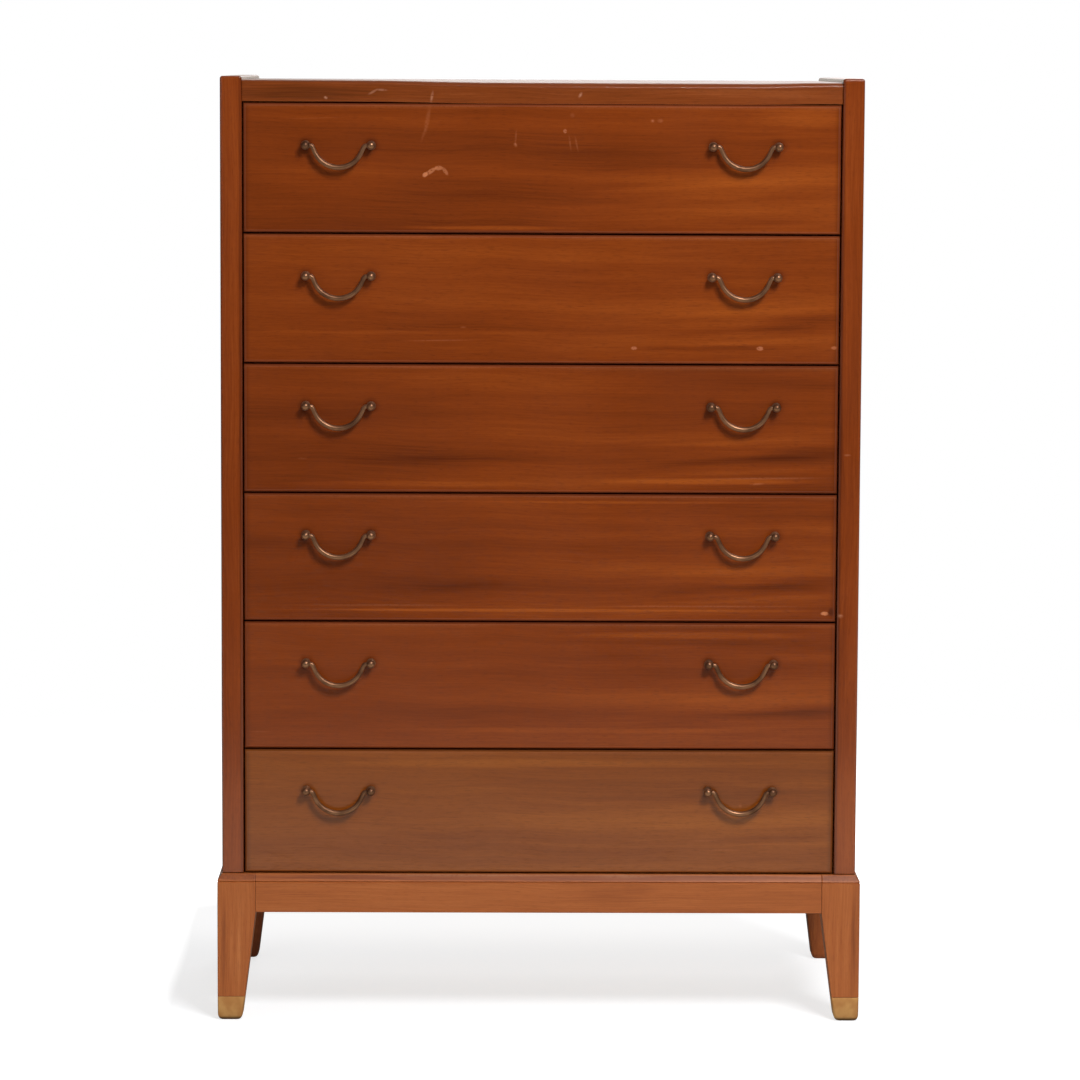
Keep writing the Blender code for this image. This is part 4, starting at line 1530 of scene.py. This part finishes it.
@dataclass
class Drawer:
    """One drawer: its front, its dovetailed box and its two handles.

    Attributes:
        number: Its number, where 1 is the top one.
        arris: The rounding of the front's edges.
        wall: The thickness of the box's sides and back.
        bottom: The thickness of its bottom.
        groove_depth: The depth of the grooves that run on the runners.
        groove_low: The height of a groove's lower face above the front's lower edge.
        groove_high: The height of its upper face.
        bottom_rise: The height of the bottom above the box's lower edge.
        tongue: How far the bottom is let into the walls.
        tails: The number of tails at a rear corner.
        pin_width: Half the width of a pin's narrow end.
        pin_slant: How far a pin's face slants over the wall.
        hole: The radius of the hole for a handle's shank.
        grime: How much darker the front is round a post.
        grime_reach: How far from the post's middle it is darker.
        slice: How much deeper in the log each front lies than the one above it.
    """

    number: int
    arris: float = 0.0016
    wall: float = 0.012
    bottom: float = 0.006
    groove_depth: float = 0.0066
    groove_low: float = 0.0574
    groove_high: float = 0.0723
    bottom_rise: float = 0.008
    tongue: float = 0.005
    tails: int = 4
    pin_width: float = 0.0024
    pin_slant: float = 0.0022
    hole: float = 0.0025
    grime: float = -0.25
    grime_reach: float = 0.0125
    slice: float = 0.005

    def build(self, handle: Handle, woods: "BoxWoods", metal: bpy.types.Material) -> None:
        """Builds and dresses the whole drawer.

        Args:
            handle: The pattern of its handles.
            woods: The finishes of the boxes' boards.
            metal: The finish of the handles.
        """
        self.body = f"drawer_{self.number}"
        self.front = Box.of(f"{self.body}_front")
        self.box = Box.of(f"{self.body}_box")
        self.build_front()
        self.build_box(woods)
        for side in Side:
            self.build_handle(side, handle, metal)

    def build_front(self) -> None:
        """Builds the front, with a hole for each handle post."""
        front = self.front

        def is_rounded(point: Vector) -> bool:
            """Says whether a point lies on the front face."""
            return point.y < front.low.y + HAIR

        board = Form().box(front.low, front.high).round_edges(self.arris, steps=4, chosen=is_rounded)
        sides, reach = 20, self.grime_reach
        holes, grime = Form(), []
        for node in self.post_nodes(*Side):
            centre = Box.of(node).centre
            holes.loft([
                [(centre.x + x, y, centre.z + z) for x, z in circle(self.hole, sides)]
                for y in (front.low.y - self.arris, front.high.y + self.arris)
            ])
            grime.append(Patch(centre.x, centre.z - front.low.z, reach, reach, self.grime, core=0.4))
        name = f"front_board_{self.number}"
        mesh = carved(board.finish(name), holes.finish("holes"))
        share = STREAK_SHARES[self.number]
        streaks = [replace(streak, strength=streak.strength * share) for streak in FRONT_STREAKS]
        # The lowest front's colours carry painted reflection.
        wood = LOW_FRONT_SHEEN_WOOD if self.number == DRAWER_COUNT else FRONT_WOOD
        figure = Figure(
            Grain.ALONG_X,
            origin=(0.0, 0.0, front.low.z),
            leaf=self.slice * self.number,
            left_gain=0.75,
            right_gain=1.5,
            streaks=(*streaks, *FRONT_TONES[self.number], *grime),
            marks=FRONT_MARKS[self.number],
            rubbed=front,
        )
        finish = wood.dress(f"front_veneer_{self.number}", figure)
        add_piece(name, mesh, finish, FRONT_WOOD.slot, self.body, f"{self.body}_front")

    def post_nodes(self, *sides: Side) -> list[str]:
        """The names of the post nodes at some sides of the drawer."""
        return [f"{self.body}_post_{side.word}_{end}" for side in sides for end in "ab"]

    def pins(self) -> bpy.types.Mesh:
        """The pins of both rear corners, which the tails of the sides lie between."""
        low, high = self.box.low, self.box.high
        pitch = (high.z - low.z) / self.tails
        narrow, wide = self.pin_width, self.pin_width + self.pin_slant
        form = Form()
        for side in Side:
            ends = sorted((side.value * high.x, side.value * (high.x - self.wall)))
            for index in range(self.tails + 1):
                z = low.z + pitch * index
                above = 0.0 if index == self.tails else 1.0
                below = 0.0 if index == 0 else 1.0
                outline = [
                    (high.y - self.wall, z - below * wide),
                    (high.y, z - below * narrow),
                    (high.y, z + above * narrow),
                    (high.y - self.wall, z + above * wide),
                ]
                form.prism(outline, Axis.X, *ends)
        return form.finish("pins")

    def build_box(self, woods: "BoxWoods") -> None:
        """Builds the two grooved sides, the back and the bottom of the box."""
        low, high = self.box.low, self.box.high
        inside = high.x - self.wall
        base_z = self.front.low.z
        bottom_z = low.z + self.bottom_rise
        node = f"{self.body}_box"
        for side in Side:
            faces = (high.x, high.x - self.groove_depth, inside, inside + self.tongue)
            outer, groove, inner, let_in = (side.value * face for face in faces)
            outline = [
                (outer, low.z),
                (inner, low.z),
                (inner, bottom_z),
                (let_in, bottom_z),
                (let_in, bottom_z + self.bottom),
                (inner, bottom_z + self.bottom),
                (inner, high.z),
                (outer, high.z),
                (outer, base_z + self.groove_high),
                (groove, base_z + self.groove_high),
                (groove, base_z + self.groove_low),
                (outer, base_z + self.groove_low),
            ]
            name = f"box_side_{self.number}_{side.word}"
            board = Form().prism(outline, Axis.Y, low.y, high.y).finish(name)
            add_piece(name, carved(board, self.pins()), woods.sides, BOX_WOOD.slot, self.body, node)
        name = f"box_back_{self.number}"
        back = Form().box((-inside, high.y - self.wall, low.z), (inside, high.y, high.z)).finish(name)
        grooves = Form()
        for side in Side:
            ends = sorted((side.value * (high.x + self.wall), side.value * (high.x - self.groove_depth)))
            grooves.box(
                (ends[0], high.y - self.wall * 2, base_z + self.groove_low),
                (ends[1], high.y + self.wall, base_z + self.groove_high),
            )
        let_in_y = high.y - self.wall + self.tongue
        slot = Form().box(
            (-inside, high.y - self.wall * 2, bottom_z), (inside, let_in_y, bottom_z + self.bottom)
        )
        mesh = carved(carved(back, self.pins(), "UNION"), grooves.finish("grooves"))
        mesh = carved(mesh, slot.finish("slot"))
        add_piece(name, mesh, woods.backs, BOX_WOOD.slot, self.body, node)
        name = f"box_bottom_{self.number}"
        reach = inside + self.tongue
        panel = Form().box((-reach, low.y, bottom_z), (reach, let_in_y, bottom_z + self.bottom))
        add_piece(name, panel.finish(name), woods.bottoms, BOX_WOOD.slot, self.body, node)

    def build_handle(self, side: Side, handle: Handle, metal: bpy.types.Material) -> None:
        """Builds the two posts and the bail of one handle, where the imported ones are."""
        posts = self.post_nodes(side)
        centres = [Box.of(node).centre for node in posts]
        joint = next(j for j in frame["joints"] if j["name"] == f"bail_{self.number}_{side.word}_swing")
        pivot = Vector(joint["pos_m"])
        thickness = self.front.high.y - self.front.low.y
        for node, centre, half_turn in zip(posts, centres, (0.0, math.pi)):
            mesh = handle.post_mesh(thickness)
            spin = Matrix.Rotation(half_turn, 4, "Y")
            mesh.transform(Matrix.Translation((centre.x, pivot.y, pivot.z)) @ spin)
            name = f"turned_post_{self.number}_{side.word}_{node[-1]}"
            add_piece(name, mesh, metal, BRONZE.slot, self.body, node)
        mesh = handle.bail_mesh((centres[1].x - centres[0].x) / 2)
        mesh.transform(Matrix.Translation(pivot))
        name = f"swan_neck_{self.number}_{side.word}"
        body = f"bail_{self.number}_{side.word}"
        add_piece(name, mesh, metal, BRONZE.slot, body, f"{self.body}_bail_{side.word}")


@dataclass(frozen=True)
class BoxWoods:
    """The finishes of the drawer boxes' boards, which all six boxes share."""

    sides: bpy.types.Material
    backs: bpy.types.Material
    bottoms: bpy.types.Material

    @classmethod
    def make(cls) -> Self:
        """Makes the three finishes."""
        return cls(
            BOX_WOOD.dress("box_side_wood", Figure(Grain.ALONG_Y, leaf=0.1)),
            BOX_WOOD.dress("box_back_wood", Figure(Grain.ALONG_X, leaf=0.2)),
            INNER_WOOD.dress("box_bottom_veneer", Figure(Grain.ALONG_X, leaf=0.3)),
        )


@dataclass(frozen=True)
class Softbox:
    """A large soft lamp.

    Attributes:
        name: Its name.
        place: Where it stands.
        aim: The point that it faces.
        width: Its width.
        height: Its height.
        watts: Its power.
    """

    name: str
    place: Point
    aim: Point
    width: float
    height: float
    watts: float

    def hang(self) -> None:
        """Puts the lamp in the scene."""
        lamp = bpy.data.lights.new(self.name, "AREA")
        lamp.shape = "RECTANGLE"
        lamp.size, lamp.size_y = self.width, self.height
        lamp.energy = self.watts
        obj = bpy.data.objects.new(self.name, lamp)
        bpy.context.scene.collection.objects.link(obj)
        obj.location = self.place
        ahead = Vector(self.aim) - Vector(self.place)
        obj.rotation_euler = ahead.to_track_quat("-Z", "Y").to_euler()


@dataclass
class Studio:
    """The pale floor, the white surroundings, the lamps and the camera.

    A place where something changes softly is a pair: where the change begins and where it ends.

    Attributes:
        ambient: The light of the room from all round.
        front_gloss: How bright the room in front is in a reflection.
        back_gloss: How bright the sweep behind is in a reflection.
        back_begins: The share of the way to +Y over which a reflection turns from front to back.
        room_tint: The warm tint of the room in a reflection.
        floor_gloss_tint: The tint of the floor in a reflection.
        shade_gloss: How bright the floor under and behind the chest is in a reflection.
        shade_reach: The place on Y where that shade begins.
        floor_half: Half the floor's width.
        floor_white: The share of the floor near the chest that shows as plain white.
        rear_white: How much larger that share is behind the chest.
        rear_reach: The place on Y where it gets larger.
        side_reach: The distance beside the chest where the floor gets plain white.
        far_reach: The distance from its middle where the floor gets plain white.
        floor_lift: How bright that white is, so that the floor is white beside the shadow too.
        lift_reach: The distance from the middle where it falls to plain white.
        sweep_end: The place on Y where the white floor ends in front, as a reflection shows it.
        camera_place: Where the camera stands.
        yaw: How far it is turned to the right.
        pitch: How far it looks down.
        roll: How far it is tilted.
        focal_pixels: Its focal length, in pixels of the photograph.
        photo_side: The photograph's width and height, in pixels.
    """

    ambient: float = 0.17
    front_gloss: float = 0.03
    back_gloss: float = 0.82
    back_begins: tuple[float, float] = (0.40, 0.90)
    room_tint: Colour = (1.0, 0.93, 0.83, 1.0)
    floor_gloss_tint: Colour = (0.98, 1.0, 0.86, 1.0)
    shade_gloss: float = 0.15
    shade_reach: tuple[float, float] = (-0.45, -0.10)
    floor_half: float = 30.0
    floor_white: float = 0.44
    rear_white: float = 0.06
    rear_reach: tuple[float, float] = (0.20, 0.45)
    side_reach: tuple[float, float] = (0.41, 0.57)
    far_reach: tuple[float, float] = (0.45, 1.0)
    floor_lift: float = 1.64
    lift_reach: tuple[float, float] = (1.2, 2.6)
    sweep_end: tuple[float, float] = (-2.6, -1.7)
    camera_place: Point = (-0.0656, -5.7514, 1.2373)
    yaw: float = 0.0117
    pitch: float = 0.1095
    roll: float = 0.0048
    focal_pixels: float = 4346.5
    photo_side: float = 1080.0

    def build(self) -> None:
        """Sets up the whole studio."""
        self.build_camera()
        self.build_world()
        self.build_floor()
        for lamp in (
            Softbox("key_lamp", (1.45, -3.3, 3.6), (0.0, -0.2, 0.7), 1.25, 1.25, 175.0),
            Softbox("fill_lamp", (-3.0, -4.0, 2.0), (0.0, -0.2, 0.5), 2.4, 2.4, 17.0),
            Softbox("rear_lamp", (0.6, 3.6, 2.8), (0.0, 0.2, 0.6), 2.2, 1.6, 45.0),
        ):
            lamp.hang()
        bpy.context.scene.view_settings.view_transform = "Standard"

    def build_camera(self) -> None:
        """Stands the camera where the photograph was taken from."""
        right = Vector((math.cos(self.yaw), -math.sin(self.yaw), 0.0))
        level = Vector((math.sin(self.yaw), math.cos(self.yaw), 0.0))
        upright = Vector((0.0, 0.0, 1.0))
        ahead = level * math.cos(self.pitch) - upright * math.sin(self.pitch)
        up = upright * math.cos(self.pitch) + level * math.sin(self.pitch)
        tilted_right = right * math.cos(self.roll) + up * math.sin(self.roll)
        tilted_up = up * math.cos(self.roll) - right * math.sin(self.roll)
        data = bpy.data.cameras.new("photo_camera")
        data.sensor_width = 36.0
        data.lens = self.focal_pixels * data.sensor_width / self.photo_side
        camera = bpy.data.objects.new("photo_camera", data)
        bpy.context.scene.collection.objects.link(camera)
        turned = Matrix((tilted_right, tilted_up, -ahead)).transposed().to_4x4()
        camera.matrix_world = Matrix.Translation(self.camera_place) @ turned
        bpy.context.scene.camera = camera

    def build_world(self) -> None:
        """Makes the surroundings white to the eye, soft as a light and darker in front as a reflection."""
        world = bpy.data.worlds.new("studio")
        bpy.context.scene.world = world
        world.use_nodes = True
        graph = Graph(world.node_tree)
        path = graph.add("ShaderNodeLightPath", {}).outputs
        way = graph.add("ShaderNodeTexCoord", {}).outputs["Generated"]
        rearward = graph.split(way)[Axis.Y.value]
        room = graph.ease(rearward, *self.back_begins, self.front_gloss, self.back_gloss)
        dimmed = graph.math("MULTIPLY", path["Is Glossy Ray"], graph.math("SUBTRACT", room, self.ambient))
        level = graph.math("ADD", self.ambient, dimmed)
        shown = graph.math("MAXIMUM", path["Is Camera Ray"], path["Is Transmission Ray"])
        whitened = graph.math("MULTIPLY_ADD", shown, graph.math("SUBTRACT", 1.0, level), level)
        background = world.node_tree.nodes["Background"]
        warm = graph.mix(path["Is Glossy Ray"], WHITE, self.room_tint)
        graph.feed(background.inputs["Color"], warm)
        graph.feed(background.inputs["Strength"], whitened)

    def build_floor(self) -> None:
        """Lays a plain pale floor that is white to the eye and keeps a faint shadow."""
        half = self.floor_half
        form = Form()
        corners = ((-half, -half), (half, -half), (half, half), (-half, half))
        form.mesh.faces.new([form.mesh.verts.new((x, y, 0.0)) for x, y in corners])
        floor = bpy.data.objects.new("floor", form.finish("floor"))
        bpy.context.scene.collection.objects.link(floor)
        material, graph, shader = new_material("pale_floor")
        material.node_tree.nodes.remove(shader)
        path = graph.add("ShaderNodeLightPath", {}).outputs
        place = graph.add("ShaderNodeTexCoord", {}).outputs["Object"]
        paint = graph.mix(graph.noise(place, FLOOR_LUMPS), seen(229, 232, 235), seen(233, 236, 239))
        plain = graph.add("ShaderNodeBsdfDiffuse", {"Color": paint})
        away = graph.add("ShaderNodeVectorMath", {0: place}, operation="LENGTH").outputs["Value"]
        depth = graph.split(place)[Axis.Y.value]
        beside = graph.math("ABSOLUTE", graph.split(place)[Axis.X.value])
        in_front = graph.ease(depth, *self.sweep_end, self.front_gloss, 1.0)
        behind = graph.ease(depth, *self.shade_reach, 1.0, self.shade_gloss)
        sweep = graph.math("MINIMUM", in_front, behind)
        lift = graph.ease(away, *self.lift_reach, self.floor_lift, 1.0)
        dimmed = graph.math("MULTIPLY", path["Is Glossy Ray"], graph.math("SUBTRACT", sweep, lift))
        strength = graph.math("ADD", dimmed, lift)
        tint = graph.mix(path["Is Glossy Ray"], WHITE, self.floor_gloss_tint)
        white = graph.add("ShaderNodeEmission", {"Color": tint, "Strength": strength})
        rays = graph.math("MAXIMUM", path["Is Camera Ray"], path["Is Transmission Ray"])
        near = graph.ease(depth, *self.rear_reach, self.floor_white, self.floor_white + self.rear_white)
        far, aside = graph.ease(away, *self.far_reach), graph.ease(beside, *self.side_reach)
        white_share = graph.math("MAXIMUM", near, graph.math("MAXIMUM", far, aside))
        share = graph.math("MAXIMUM", graph.math("MULTIPLY", rays, white_share), path["Is Glossy Ray"])
        mixed = graph.add("ShaderNodeMixShader", {0: share, 1: plain.outputs[0], 2: white.outputs[0]})
        output = next(node for node in material.node_tree.nodes if node.type == "OUTPUT_MATERIAL")
        graph.feed(output.inputs["Surface"], mixed.outputs[0])
        floor.data.materials.append(material)


def main() -> None:
    """Builds the chest's sub-assemblies in order, then the studio around them."""
    logging.basicConfig(level=logging.INFO, format="%(name)s: %(message)s")
    Case().build()
    Base().build()
    handle = Handle()
    woods = BoxWoods.make()
    metal = BRONZE.dress("handle_metal")
    for number in range(1, DRAWER_COUNT + 1):
        Drawer(number).build(handle, woods, metal)
    Studio().build()


if __name__ == "__main__":
    main()
